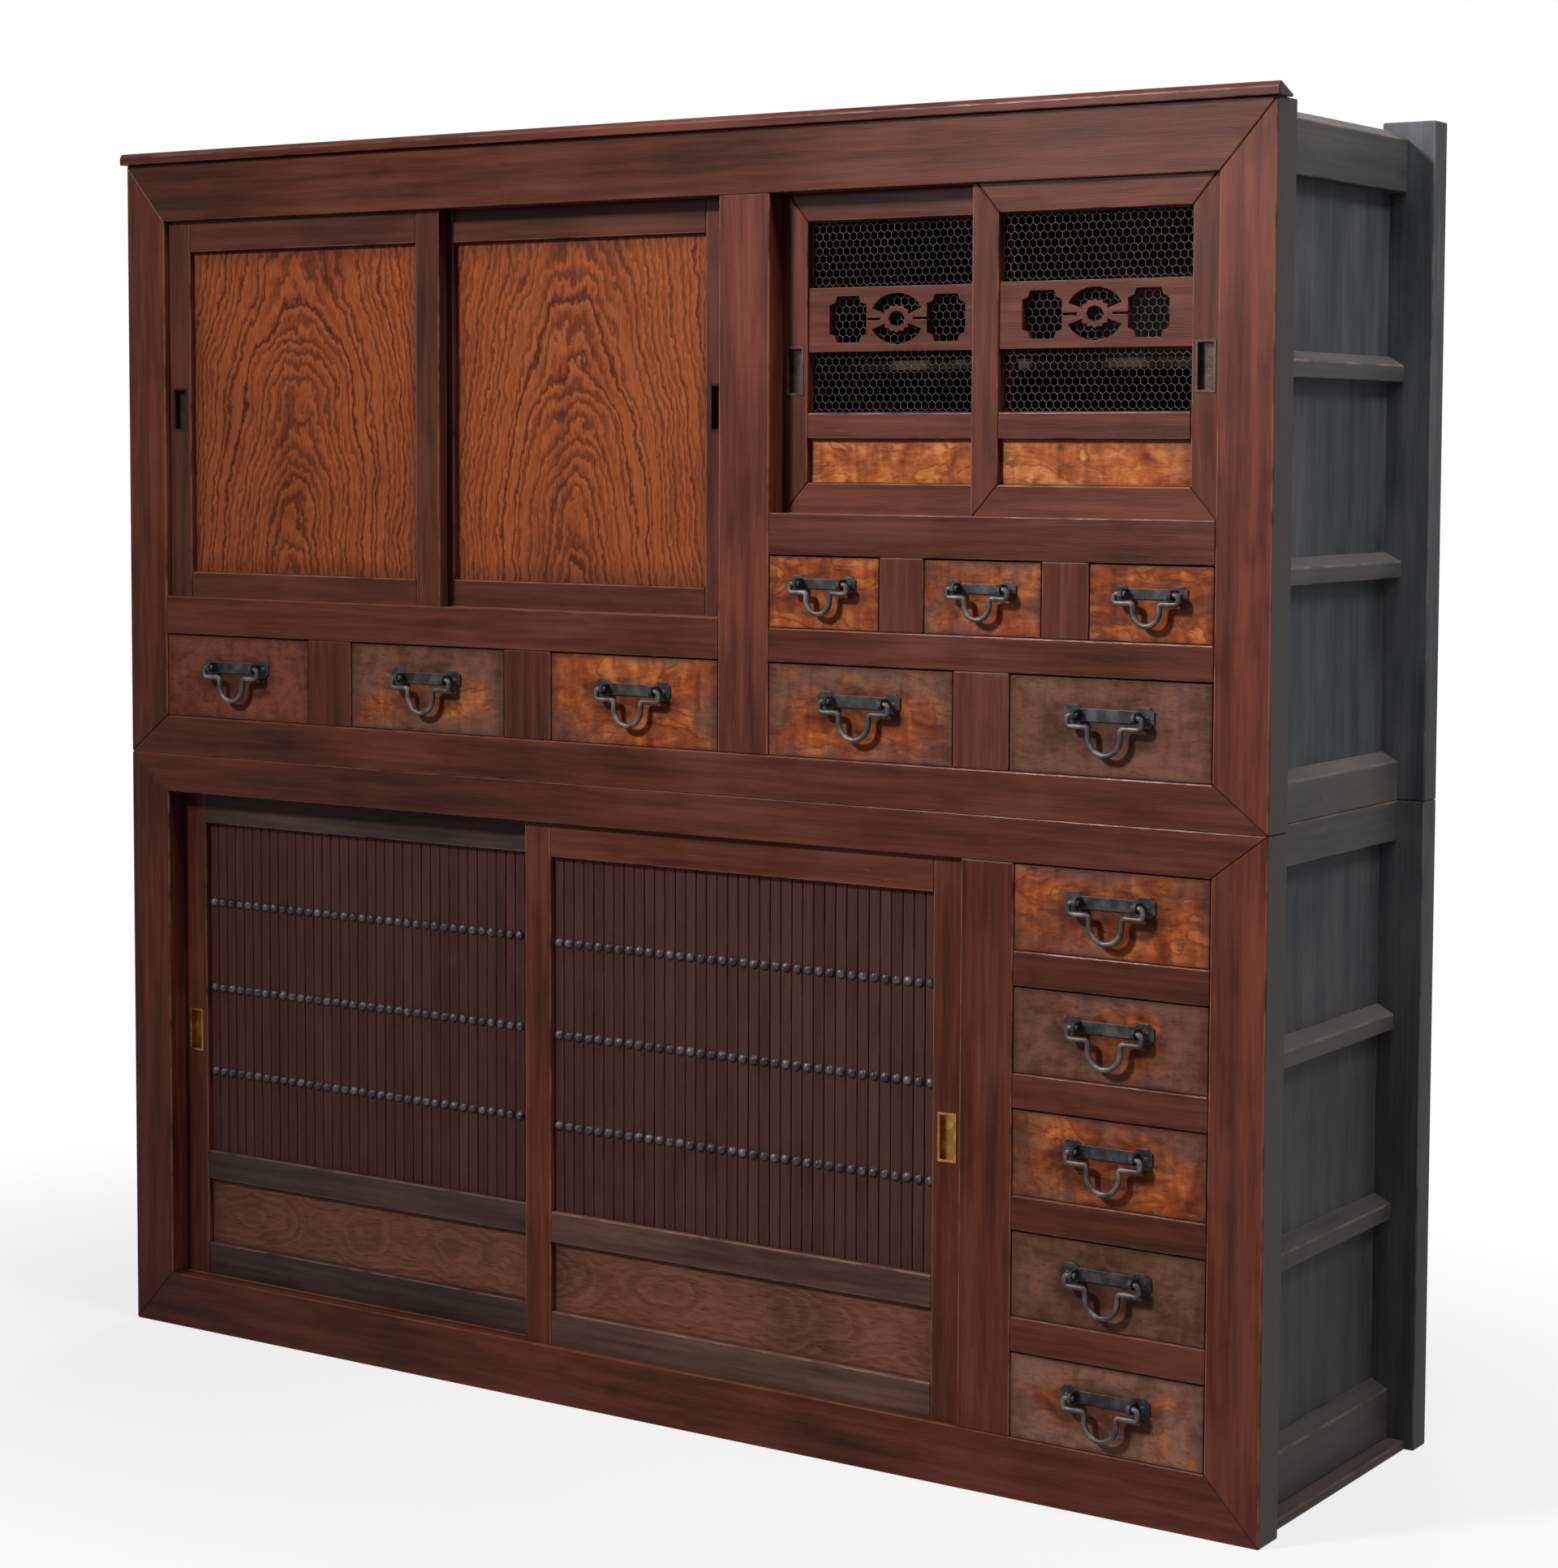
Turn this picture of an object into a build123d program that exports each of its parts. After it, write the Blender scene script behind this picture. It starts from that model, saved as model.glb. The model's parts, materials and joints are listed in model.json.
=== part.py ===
from build123d import *
import math
import os
from typing import NamedTuple

# A two-section kitchen chest (mizuya tansu): two stacked cases with sliding doors and drawers.
# Millimetres. It stands on Z = 0 with its front towards -Y, and the origin lies under its middle.

# Cases
CASE_WIDTH = 1760.0
CASE_DEPTH = 484.0
LOWER_HEIGHT = 815.0
UPPER_HEIGHT = 822.0

# Mitred front frames
FRAME_DEPTH = 52.0
POST_WIDTH = 70.0
UPPER_TOP_RAIL = 80.0
UPPER_BOTTOM_RAIL = 54.0
LOWER_TOP_RAIL = 53.0
LOWER_BOTTOM_RAIL = 75.0

# Rails and posts inside the front frames
MIDDLE_POST_WIDTH = 75.0
MIDDLE_POST_CENTRE = 167.5
LOWER_POST_WIDTH = 72.0
LOWER_POST_CENTRE = 518.0
WIDE_ROW_HEIGHT = 115.5
LEFT_SILL_RAIL = 52.0
SMALL_ROW_RAIL = 42.0
SMALL_ROW_HEIGHT = 90.0
RIGHT_SILL_RAIL = 51.0
COLUMN_RAIL = 42.0
WIDE_DIVIDER = 76.0
SMALL_DIVIDER = 62.0
LEFT_DRAWERS = 3
RIGHT_DRAWERS = 2
SMALL_DRAWERS = 3
COLUMN_DRAWERS = 5

# Sides and back
PANEL_INSET = 1.0
SIDE_PANEL = 12.0
SIDE_RAIL = 22.0
SIDE_RAIL_BEVEL = 12.0
MID_SIDE_RAIL = 32.0
UPPER_MID_RAIL_shares = (0.335, 0.627)
LOWER_MID_RAIL_shares = (0.355, 0.648)
UPPER_SIDE_TOP_RAIL = 76.0
UPPER_SIDE_BOTTOM_RAIL = 60.0
LOWER_SIDE_TOP_RAIL = 50.0
LOWER_SIDE_BOTTOM_RAIL = 74.0
REAR_POST_DEPTH = 38.0
REAR_POST_RISE = 10.0
BACK_BOARD = 12.0
BACK_BOARDS = 7
BASE_SILL = 12.0
BASE_SILL_SETBACK = 12.0

# Cornice strip along the top of the front
CORNICE_HEIGHT = 16.0
CORNICE_FACE = 10.0
CORNICE_REACH = 8.0
CORNICE_DEPTH = 36.0
CORNICE_BEVEL = 4.0
CORNICE_HEEL = 3.0
CORNICE_END = 6.0

# Inner boards
DECK = 12.0
PARTITION = 15.0
TOP_BOARDS = 3
TOP_DROP = 3.0
GUIDE_HEIGHT = 20.0
SHELF_SETBACK = 110.0
SHELF_CLEAT = 20.0
MESH_SHELF_share = 0.48
SLAT_SHELF_share = 0.5

# Sliding doors and their tracks
DOOR = 17.0
FRONT_TRACK = 9.0
REAR_TRACK = 30.0
TRACK_PLAY = 0.5
END_PLAY = 0.5
RUN = 0.3
SILL_GROOVE = 4.0
HEAD_GROOVE = 12.0
HEAD_LAP = 8.0
PANEL_DOOR_LAP = 32.0
MESH_DOOR_LAP = 42.0
SLAT_DOOR_LAP = 34.0
INFILL = 6.0
INFILL_SETBACK = 8.0

PANEL_STILE = 40.0
PANEL_TOP_RAIL = 43.0
PANEL_BOTTOM_RAIL = 35.0

MESH_STILE = 36.0
MESH_TOP_RAIL = 35.0
MESH_BOTTOM_RAIL = 37.0
MESH_MIDDLE_RAIL = 31.0
MESH_FIELD_shares = (0.1885, 0.2583, 0.2722)
FRETWORK = 8.0
FRETWORK_SETBACK = 3.0
NET_WIRE = 1.2
NET_PITCH = 27.0
NET_STRAND = 2.0
HEX_HEIGHT_share = math.sqrt(3) / 2

SLAT_STILE = 42.0
SLAT_TOP_RAIL = 45.0
SLAT_BOTTOM_RAIL = 44.0
SLAT_BASE_PANEL = 92.0
SLAT_MIDDLE_RAIL = 40.0
SLAT_PITCH = 16.1
SLAT_GAP = 0.8
SLAT_ARRIS = 1.2
CROSSBAR = 22.0
CROSSBAR_DEPTH = 3.0
CROSSBAR_shares = (0.244, 0.5, 0.76)

# Openwork in the mesh doors' fret boards, as shares of a figure that fills the board's height
FIGURE_WIDTH_share = 0.307
LOBE_shares = (0.68, 0.73)
LOBE_NOTCH_shares = (0.141, 0.102)
LOBE_CENTRE_share = 0.897
RING_HOLE_share = 0.12
RING_SIDES = 8
RING_WIDTH_share = 1.22
CRESCENT_shares = (0.19, 0.4)
SCALLOP_share = 0.032
SCALLOP_DEGREES = 26.4
CRESCENT_DEGREES = ((24.0, 156.0), (204.0, 336.0))
SLIT_shares = (0.28, 0.0385)
SLIT_CENTRE_share = 0.44

# Flush pulls of the doors
PULL_WIDTH = 22.0
PULL_HEIGHT = 56.0
PULL_DEPTH = 9.0
PULL_WALL = 1.2
PULL_FLANGE = 2.0
PULL_FLANGE_THICKNESS = 1.0
PANEL_PULL_share = 0.5
MESH_PULL_share = 0.445
SLAT_PULL_share = 0.505

# Drawers
DRAWER_FRONT = 20.0
DRAWER_SIDE = 10.0
DRAWER_BOTTOM = 8.0
DRAWER_BACK_PLAY = 41.0
DRAWER_SETBACK = 1.0
DRAWER_SIDE_PLAY = 1.2
DRAWER_TOP_PLAY = 1.8
DRAWER_SIDE_DROP = 6.0

# Drop handles
PLATE_LENGTH = 118.0
PLATE_END_HEIGHT = 24.0
PLATE_END_LENGTH = 26.0
PLATE_END_CUT = 6.0
PLATE_WAIST = 15.0
PLATE = 2.0
PLATE_RISE_share = 0.12
EYE_SPACING = 78.0
EYE_RADIUS = 6.2
EYE_SIDES = 8
EYE_THICKNESS = 5.0
EYE_STANDOFF = 12.5
BAIL_ROD = 3.5
BAIL_PLAY = 0.08
BAIL_TAIL = 2.0
BAIL_OVERHANG = 9.5
BAIL_SHOULDER = 13.0
BAIL_HALF_WIDTH = 21.0
BAIL_DROP = 45.0
BAIL_BEND = 4.5
BAIL_SIDES = 8
BAIL_BOW_STEPS = 6
SMALL_HANDLE_share = 0.8

# Heights and places that follow from the sizes above
OVERRUN = BACK_BOARD
HALF_WIDTH = CASE_WIDTH / 2
DRAWER_LENGTH = CASE_DEPTH - BACK_BOARD - DRAWER_SETBACK - DRAWER_BACK_PLAY
HANDLE_REACH = EYE_STANDOFF + EYE_RADIUS - DRAWER_SETBACK
FRONT_Y = (HANDLE_REACH - CASE_DEPTH) / 2
BACK_Y = FRONT_Y + CASE_DEPTH
FRAME_BACK = FRONT_Y + FRAME_DEPTH
INSIDE_BACK = BACK_Y - BACK_BOARD
REAR_POST_FRONT = BACK_Y - REAR_POST_DEPTH
INNER_X = HALF_WIDTH - POST_WIDTH
PANEL_IN = INNER_X + PANEL_INSET
PANEL_OUT = PANEL_IN + SIDE_PANEL
RAIL_OUT = PANEL_OUT + SIDE_RAIL

TOP = LOWER_HEIGHT + UPPER_HEIGHT
LOWER_SILL = LOWER_BOTTOM_RAIL
LOWER_HEAD = LOWER_HEIGHT - LOWER_TOP_RAIL
UPPER_FLOOR = LOWER_HEIGHT + UPPER_BOTTOM_RAIL
UPPER_HEAD = TOP - UPPER_TOP_RAIL
WIDE_ROW_TOP = UPPER_FLOOR + WIDE_ROW_HEIGHT
LEFT_SILL = WIDE_ROW_TOP + LEFT_SILL_RAIL
SMALL_ROW_FLOOR = WIDE_ROW_TOP + SMALL_ROW_RAIL
SMALL_ROW_TOP = SMALL_ROW_FLOOR + SMALL_ROW_HEIGHT
RIGHT_SILL = SMALL_ROW_TOP + RIGHT_SILL_RAIL
UPPER_CEILING = TOP - TOP_DROP - DECK
LOWER_CEILING = LOWER_HEIGHT - DECK

MIDDLE_POST = (MIDDLE_POST_CENTRE - MIDDLE_POST_WIDTH / 2, MIDDLE_POST_CENTRE + MIDDLE_POST_WIDTH / 2)
LOWER_POST = (LOWER_POST_CENTRE - LOWER_POST_WIDTH / 2, LOWER_POST_CENTRE + LOWER_POST_WIDTH / 2)
UPPER_PARTITION = (MIDDLE_POST_CENTRE - PARTITION / 2, MIDDLE_POST_CENTRE + PARTITION / 2)
LOWER_PARTITION = (LOWER_POST_CENTRE - PARTITION / 2, LOWER_POST_CENTRE + PARTITION / 2)
FRAME_Y = (FRONT_Y, FRAME_BACK)
INSIDE_Y = (FRAME_BACK, INSIDE_BACK)
SHELF_Y = (FRONT_Y + SHELF_SETBACK, INSIDE_BACK)
SIDE_Y = (FRAME_BACK, REAR_POST_FRONT)


class Opening(NamedTuple):
    """A door opening: its span across, its sill and head, and how far its two doors overlap."""
    x: tuple
    sill: float
    head: float
    lap: float


class Cell(NamedTuple):
    """The clear hole of one drawer in the front."""
    name: str
    x: tuple
    z: tuple
    handle_share: float


class Door(NamedTuple):
    """One sliding door: the spans that it fills, the span that shows, and its pull's centre."""
    x: tuple
    y: tuple
    z: tuple
    sill: float
    head: float
    pull_x: float
    pull_z: float


PANEL_OPENING = Opening((-INNER_X, MIDDLE_POST[0]), LEFT_SILL, UPPER_HEAD, PANEL_DOOR_LAP)
MESH_OPENING = Opening((MIDDLE_POST[1], INNER_X), RIGHT_SILL, UPPER_HEAD, MESH_DOOR_LAP)
SLAT_OPENING = Opening((-INNER_X, LOWER_POST[0]), LOWER_SILL, LOWER_HEAD, SLAT_DOOR_LAP)
MESH_SHELF = MESH_OPENING.sill + MESH_SHELF_share * (MESH_OPENING.head - MESH_OPENING.sill)
SLAT_SHELF = SLAT_OPENING.sill + SLAT_SHELF_share * (SLAT_OPENING.head - SLAT_OPENING.sill)


def middle(span):
    """The middle of a (low, high) span."""
    return (span[0] + span[1]) / 2


def split(span, count, gap=0.0):
    """Equal parts of a span, with a gap between each two."""
    size = (span[1] - span[0] - gap * (count - 1)) / count
    starts = [span[0] + index * (size + gap) for index in range(count)]
    return [(start, start + size) for start in starts]


def block(x, y, z):
    """A board that fills three (low, high) spans."""
    size = [high - low for low, high in (x, y, z)]
    return Pos(middle(x), middle(y), middle(z)) * Box(*size)


def facing(y):
    """A plane across the front at depth y: sketches read (X, Z), and extruding comes forward."""
    return Plane(origin=(0, y, 0), x_dir=(1, 0, 0), z_dir=(0, -1, 0))


def front_prism(points, y):
    """A prism whose (X, Z) outline runs from the front to the back of the span y."""
    outline = facing(y[1]) * make_face(Polyline(*points, close=True))
    return extrude(outline, amount=y[1] - y[0])


def both_sides(solids):
    """The solids and their mirror images on the other side of the chest."""
    return solids + [mirror(solid, about=Plane.YZ) for solid in solids]


def mitred_frame(x, y, z, stile, top, bottom):
    """Left post, right post, bottom rail and top rail, mitred from corner to corner."""
    left, right = x[0] + stile, x[1] - stile
    low, high = z[0] + bottom, z[1] - top
    outlines = [
        [(x[0], z[0]), (left, low), (left, high), (x[0], z[1])],
        [(x[1], z[0]), (x[1], z[1]), (right, high), (right, low)],
        [(x[0], z[0]), (x[1], z[0]), (right, low), (left, low)],
        [(x[0], z[1]), (left, high), (right, high), (x[1], z[1])],
    ]
    return [front_prism(outline, y) for outline in outlines]


def track_spans():
    """The depths of the two grooves that the doors run in."""
    starts = [FRONT_Y + track for track in (FRONT_TRACK, REAR_TRACK)]
    return [(start - TRACK_PLAY, start + DOOR + TRACK_PLAY) for start in starts]


def sill_grooves(opening):
    """The shallow grooves under an opening's doors."""
    depth = (opening.sill - SILL_GROOVE, opening.sill + OVERRUN)
    return [block(opening.x, y, depth) for y in track_spans()]


def head_grooves(opening):
    """The deep grooves over an opening's doors, which let a door be lifted out."""
    depth = (opening.head - OVERRUN, opening.head + HEAD_GROOVE)
    return [block(opening.x, y, depth) for y in track_spans()]


def drawer_cells():
    """Every drawer's hole, named from left to right and from top to bottom."""
    wide = (UPPER_FLOOR, WIDE_ROW_TOP)
    small = (SMALL_ROW_FLOOR, SMALL_ROW_TOP)
    rows = [
        ("left_drawer", split(PANEL_OPENING.x, LEFT_DRAWERS, WIDE_DIVIDER), wide, 1.0),
        ("right_drawer", split(MESH_OPENING.x, RIGHT_DRAWERS, WIDE_DIVIDER), wide, 1.0),
        ("small_drawer", split(MESH_OPENING.x, SMALL_DRAWERS, SMALL_DIVIDER), small, SMALL_HANDLE_share),
    ]
    cells = []
    for name, spans, z, share in rows:
        cells += [Cell(f"{name}_{number}", x, z, share) for number, x in enumerate(spans, 1)]
    column = reversed(split((LOWER_SILL, LOWER_HEAD), COLUMN_DRAWERS, COLUMN_RAIL))
    x = (LOWER_POST[1], INNER_X)
    cells += [Cell(f"column_drawer_{number}", x, z, 1.0) for number, z in enumerate(column, 1)]
    return cells


CELLS = drawer_cells()


def gaps_between(name):
    """The spans between the neighbouring drawers of one row."""
    spans = [cell.x for cell in CELLS if cell.name.startswith(name)]
    return [(left[1], right[0]) for left, right in zip(spans, spans[1:])]


# Front of the upper case

def upper_front_frame():
    """The mitred frame of the upper case, with the doors' head grooves."""
    left, right, bottom, top = mitred_frame(
        (-HALF_WIDTH, HALF_WIDTH), FRAME_Y, (LOWER_HEIGHT, TOP), POST_WIDTH, UPPER_TOP_RAIL, UPPER_BOTTOM_RAIL)
    top -= head_grooves(PANEL_OPENING) + head_grooves(MESH_OPENING)
    return [left, right, bottom, top]


def upper_front_dividers():
    """Middle post, grooved sill rails, the rail between the right rows, and the drawers' dividers."""
    post = block(MIDDLE_POST, FRAME_Y, (UPPER_FLOOR, UPPER_HEAD))
    left_sill = block(PANEL_OPENING.x, FRAME_Y, (WIDE_ROW_TOP, LEFT_SILL)) - sill_grooves(PANEL_OPENING)
    right_sill = block(MESH_OPENING.x, FRAME_Y, (SMALL_ROW_TOP, RIGHT_SILL)) - sill_grooves(MESH_OPENING)
    row_rail = block(MESH_OPENING.x, FRAME_Y, (WIDE_ROW_TOP, SMALL_ROW_FLOOR))
    wide = gaps_between("left_drawer") + gaps_between("right_drawer")
    dividers = [block(x, FRAME_Y, (UPPER_FLOOR, WIDE_ROW_TOP)) for x in wide]
    dividers += [block(x, FRAME_Y, (SMALL_ROW_FLOOR, SMALL_ROW_TOP)) for x in gaps_between("small_drawer")]
    return [post, left_sill, right_sill, row_rail] + dividers


def cornice():
    """The strip along the front's top: an upright face, a bevel, and a back that falls away."""
    front, back = FRONT_Y - CORNICE_REACH, FRONT_Y - CORNICE_REACH + CORNICE_DEPTH
    profile = [
        (front, TOP), (front, TOP + CORNICE_FACE), (front + CORNICE_BEVEL, TOP + CORNICE_HEIGHT),
        (back, TOP + CORNICE_HEEL), (back, TOP),
    ]
    end = HALF_WIDTH + CORNICE_END
    outline = Plane(origin=(-end, 0, 0), x_dir=(0, 1, 0), z_dir=(1, 0, 0)) * make_face(Polyline(*profile, close=True))
    return [extrude(outline, amount=end * 2)]


# Front of the lower case

def lower_front_frame():
    """The mitred frame of the lower case, grooved for the slatted doors."""
    left, right, bottom, top = mitred_frame(
        (-HALF_WIDTH, HALF_WIDTH), FRAME_Y, (0, LOWER_HEIGHT), POST_WIDTH, LOWER_TOP_RAIL, LOWER_BOTTOM_RAIL)
    bottom -= sill_grooves(SLAT_OPENING)
    top -= head_grooves(SLAT_OPENING)
    return [left, right, bottom, top]


def lower_front_dividers():
    """The post beside the drawer column, and the rails between its drawers."""
    post = block(LOWER_POST, FRAME_Y, (LOWER_SILL, LOWER_HEAD))
    column = [cell for cell in CELLS if cell.name.startswith("column_drawer")]
    rails = [block(above.x, FRAME_Y, (below.z[1], above.z[0])) for above, below in zip(column, column[1:])]
    return [post] + rails


# Sides and back

def side_rail(z):
    """One rail of the right side, bevelled along its outer top edge."""
    outline = [(PANEL_OUT, z[0]), (RAIL_OUT, z[0]), (RAIL_OUT, z[1] - SIDE_RAIL_BEVEL), (PANEL_OUT, z[1])]
    return front_prism(outline, SIDE_Y)


def side_frame(z, rail_spans):
    """Rear post and rails of one case, on both sides."""
    post = block((PANEL_IN, HALF_WIDTH), (REAR_POST_FRONT, BACK_Y), z)
    return both_sides([post] + [side_rail(span) for span in rail_spans])


def mid_rails(floor, height, shares):
    """The spans of the rails between a side's top and bottom rails."""
    starts = [floor + share * height for share in shares]
    return [(start, start + MID_SIDE_RAIL) for start in starts]


def upper_side_frames():
    """Rear posts and side rails of the upper case."""
    rails = [(LOWER_HEIGHT, LOWER_HEIGHT + UPPER_SIDE_BOTTOM_RAIL), (TOP - UPPER_SIDE_TOP_RAIL, TOP)]
    rails += mid_rails(LOWER_HEIGHT, UPPER_HEIGHT, UPPER_MID_RAIL_shares)
    return side_frame((LOWER_HEIGHT, TOP + REAR_POST_RISE), rails)


def lower_side_frames():
    """Rear posts and side rails of the lower case."""
    rails = [(BASE_SILL, BASE_SILL + LOWER_SIDE_BOTTOM_RAIL), (LOWER_HEIGHT - LOWER_SIDE_TOP_RAIL, LOWER_HEIGHT)]
    rails += mid_rails(0, LOWER_HEIGHT, LOWER_MID_RAIL_shares)
    return side_frame((0, LOWER_HEIGHT), rails)


def side_panels():
    """The boards behind the side rails."""
    spans = [(BASE_SILL, LOWER_HEIGHT), (LOWER_HEIGHT, TOP - TOP_DROP)]
    return both_sides([block((PANEL_IN, PANEL_OUT), SIDE_Y, z) for z in spans])


def base_sills():
    """The strips that the sides stand on."""
    return both_sides([block((PANEL_IN, HALF_WIDTH - BASE_SILL_SETBACK), SIDE_Y, (0, BASE_SILL))])


def back_boards():
    """Upright boards between the rear posts of each case."""
    spans = [(BASE_SILL, LOWER_HEIGHT), (LOWER_HEIGHT, TOP - TOP_DROP)]
    boards = split((-PANEL_IN, PANEL_IN), BACK_BOARDS)
    return [block(x, (INSIDE_BACK, BACK_Y), z) for z in spans for x in boards]


# Inner boards

def deck(x, top, y=INSIDE_Y):
    """A level board whose upper face is at the height top."""
    return block(x, y, (top - DECK, top))


def upper_decks():
    """Floor, drawer decks, shelf and top boards of the upper case."""
    left, right = (-PANEL_IN, UPPER_PARTITION[0]), (UPPER_PARTITION[1], PANEL_IN)
    boards = [
        deck((-PANEL_IN, PANEL_IN), UPPER_FLOOR),
        deck(left, LEFT_SILL),
        deck(right, SMALL_ROW_FLOOR),
        deck(right, RIGHT_SILL),
        deck(right, MESH_SHELF, SHELF_Y),
    ]
    return boards + [deck((-PANEL_IN, PANEL_IN), UPPER_CEILING + DECK, y) for y in split(INSIDE_Y, TOP_BOARDS)]


def lower_decks():
    """Floor, drawer decks, shelf and top boards of the lower case."""
    left, right = (-PANEL_IN, LOWER_PARTITION[0]), (LOWER_PARTITION[1], PANEL_IN)
    boards = [deck((-PANEL_IN, PANEL_IN), LOWER_SILL), deck(left, SLAT_SHELF, SHELF_Y)]
    raised = [cell for cell in CELLS if cell.name.startswith("column_drawer") and cell.z[0] > LOWER_SILL]
    boards += [deck(right, cell.z[0]) for cell in raised]
    return boards + [deck((-PANEL_IN, PANEL_IN), LOWER_HEIGHT, y) for y in split(INSIDE_Y, TOP_BOARDS)]


def partitions():
    """The upright boards behind the middle posts, which part the drawers and compartments."""
    return [
        block(UPPER_PARTITION, INSIDE_Y, (UPPER_FLOOR, UPPER_CEILING)),
        block(LOWER_PARTITION, INSIDE_Y, (LOWER_SILL, LOWER_CEILING)),
    ]


def guides_and_cleats():
    """Guide boards between the drawers, and the cleats under the two shelves."""
    beside_left = (MIDDLE_POST[0], UPPER_PARTITION[0])
    beside_right = (UPPER_PARTITION[1], MIDDLE_POST[1])
    wide = [beside_left, beside_right] + gaps_between("left_drawer") + gaps_between("right_drawer")
    small = [beside_right] + gaps_between("small_drawer")
    guides = [(x, UPPER_FLOOR) for x in wide] + [(x, SMALL_ROW_FLOOR) for x in small]
    column = [cell.z[0] for cell in CELLS if cell.name.startswith("column_drawer")]
    guides += [((LOWER_PARTITION[1], LOWER_POST[1]), floor) for floor in column]
    boards = [block(x, INSIDE_Y, (floor, floor + GUIDE_HEIGHT)) for x, floor in guides]
    shelves = [(UPPER_PARTITION[1], PANEL_IN, MESH_SHELF), (-PANEL_IN, LOWER_PARTITION[0], SLAT_SHELF)]
    for left, right, top in shelves:
        z = (top - DECK - SHELF_CLEAT, top - DECK)
        boards += [block(x, SHELF_Y, z) for x in ((left, left + SHELF_CLEAT), (right - SHELF_CLEAT, right))]
    return boards


# Sliding doors

def door_at(opening, on_left, track, pull_share, stile):
    """The place of the left or right door of an opening, in the track at that depth."""
    width = (opening.x[1] - opening.x[0] + opening.lap) / 2
    start = opening.x[0] + END_PLAY if on_left else opening.x[1] - END_PLAY - width
    x = (start, start + width)
    y = (FRONT_Y + track, FRONT_Y + track + DOOR)
    z = (opening.sill - SILL_GROOVE + RUN, opening.head + HEAD_LAP)
    pull_x = x[0] + stile / 2 if on_left else x[1] - stile / 2
    pull_z = opening.sill + pull_share * (opening.head - opening.sill)
    return Door(x, y, z, opening.sill, opening.head, pull_x, pull_z)


DOORS = {
    "panel_door_left": door_at(PANEL_OPENING, True, FRONT_TRACK, PANEL_PULL_share, PANEL_STILE),
    "panel_door_right": door_at(PANEL_OPENING, False, REAR_TRACK, PANEL_PULL_share, PANEL_STILE),
    "mesh_door_left": door_at(MESH_OPENING, True, REAR_TRACK, MESH_PULL_share, MESH_STILE),
    "mesh_door_right": door_at(MESH_OPENING, False, FRONT_TRACK, MESH_PULL_share, MESH_STILE),
    "slat_door_left": door_at(SLAT_OPENING, True, REAR_TRACK, SLAT_PULL_share, SLAT_STILE),
    "slat_door_right": door_at(SLAT_OPENING, False, FRONT_TRACK, SLAT_PULL_share, SLAT_STILE),
}


def door_travel(opening):
    """How far a door slides before it meets the far post."""
    return (opening.x[1] - opening.x[0] - opening.lap) / 2 - END_PLAY * 2


def pull(door):
    """A flush pull: a cup let into the stile, with a thin flange on the stile's face."""
    x = (door.pull_x - PULL_WIDTH / 2, door.pull_x + PULL_WIDTH / 2)
    z = (door.pull_z - PULL_HEIGHT / 2, door.pull_z + PULL_HEIGHT / 2)
    face = door.y[0]
    cup = block(x, (face, face + PULL_DEPTH), z)
    flange = block(
        (x[0] - PULL_FLANGE, x[1] + PULL_FLANGE), (face - PULL_FLANGE_THICKNESS, face),
        (z[0] - PULL_FLANGE, z[1] + PULL_FLANGE))
    hollow = block(
        (x[0] + PULL_WALL, x[1] - PULL_WALL), (face - OVERRUN, face + PULL_DEPTH - PULL_WALL),
        (z[0] + PULL_WALL, z[1] - PULL_WALL))
    return [cup + flange - hollow]


def pull_pocket(door):
    """The pocket in the stile that takes the pull's cup."""
    x = (door.pull_x - PULL_WIDTH / 2, door.pull_x + PULL_WIDTH / 2)
    z = (door.pull_z - PULL_HEIGHT / 2, door.pull_z + PULL_HEIGHT / 2)
    return block(x, (door.y[0] - OVERRUN, door.y[0] + PULL_DEPTH), z)


def butted_frame(door, stile, rail_spans):
    """Stiles of full height with rails between them, and the pull's pocket."""
    x = (door.x[0] + stile, door.x[1] - stile)
    stiles = [block((door.x[0], x[0]), door.y, door.z), block((x[1], door.x[1]), door.y, door.z)]
    rails = [block(x, door.y, span) for span in rail_spans]
    pocket = pull_pocket(door)
    return [board - pocket for board in stiles] + rails


def infill_y(door, setback=INFILL_SETBACK, thickness=INFILL):
    """The depth that a door's infill fills behind the frame's face."""
    return (door.y[0] + setback, door.y[0] + setback + thickness)


def panel_door(name):
    """A door with one wide figured panel."""
    door = DOORS[name]
    window = (door.sill + PANEL_BOTTOM_RAIL, door.head - PANEL_TOP_RAIL)
    x = (door.x[0] + PANEL_STILE, door.x[1] - PANEL_STILE)
    return {
        f"{name}_frame": butted_frame(door, PANEL_STILE, [(door.z[0], window[0]), (window[1], door.z[1])]),
        f"{name}_panel": [block(x, infill_y(door), window)],
        f"{name}_pull": pull(door),
    }


def slat(x, y, z):
    """One upright slat, with both front arrises taken off."""
    points = [
        (x[0], y[1]), (x[0], y[0] + SLAT_ARRIS), (x[0] + SLAT_ARRIS, y[0]),
        (x[1] - SLAT_ARRIS, y[0]), (x[1], y[0] + SLAT_ARRIS), (x[1], y[1]),
    ]
    return extrude(Pos(0, 0, z[0]) * make_face(Polyline(*points, close=True)), amount=z[1] - z[0])


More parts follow.
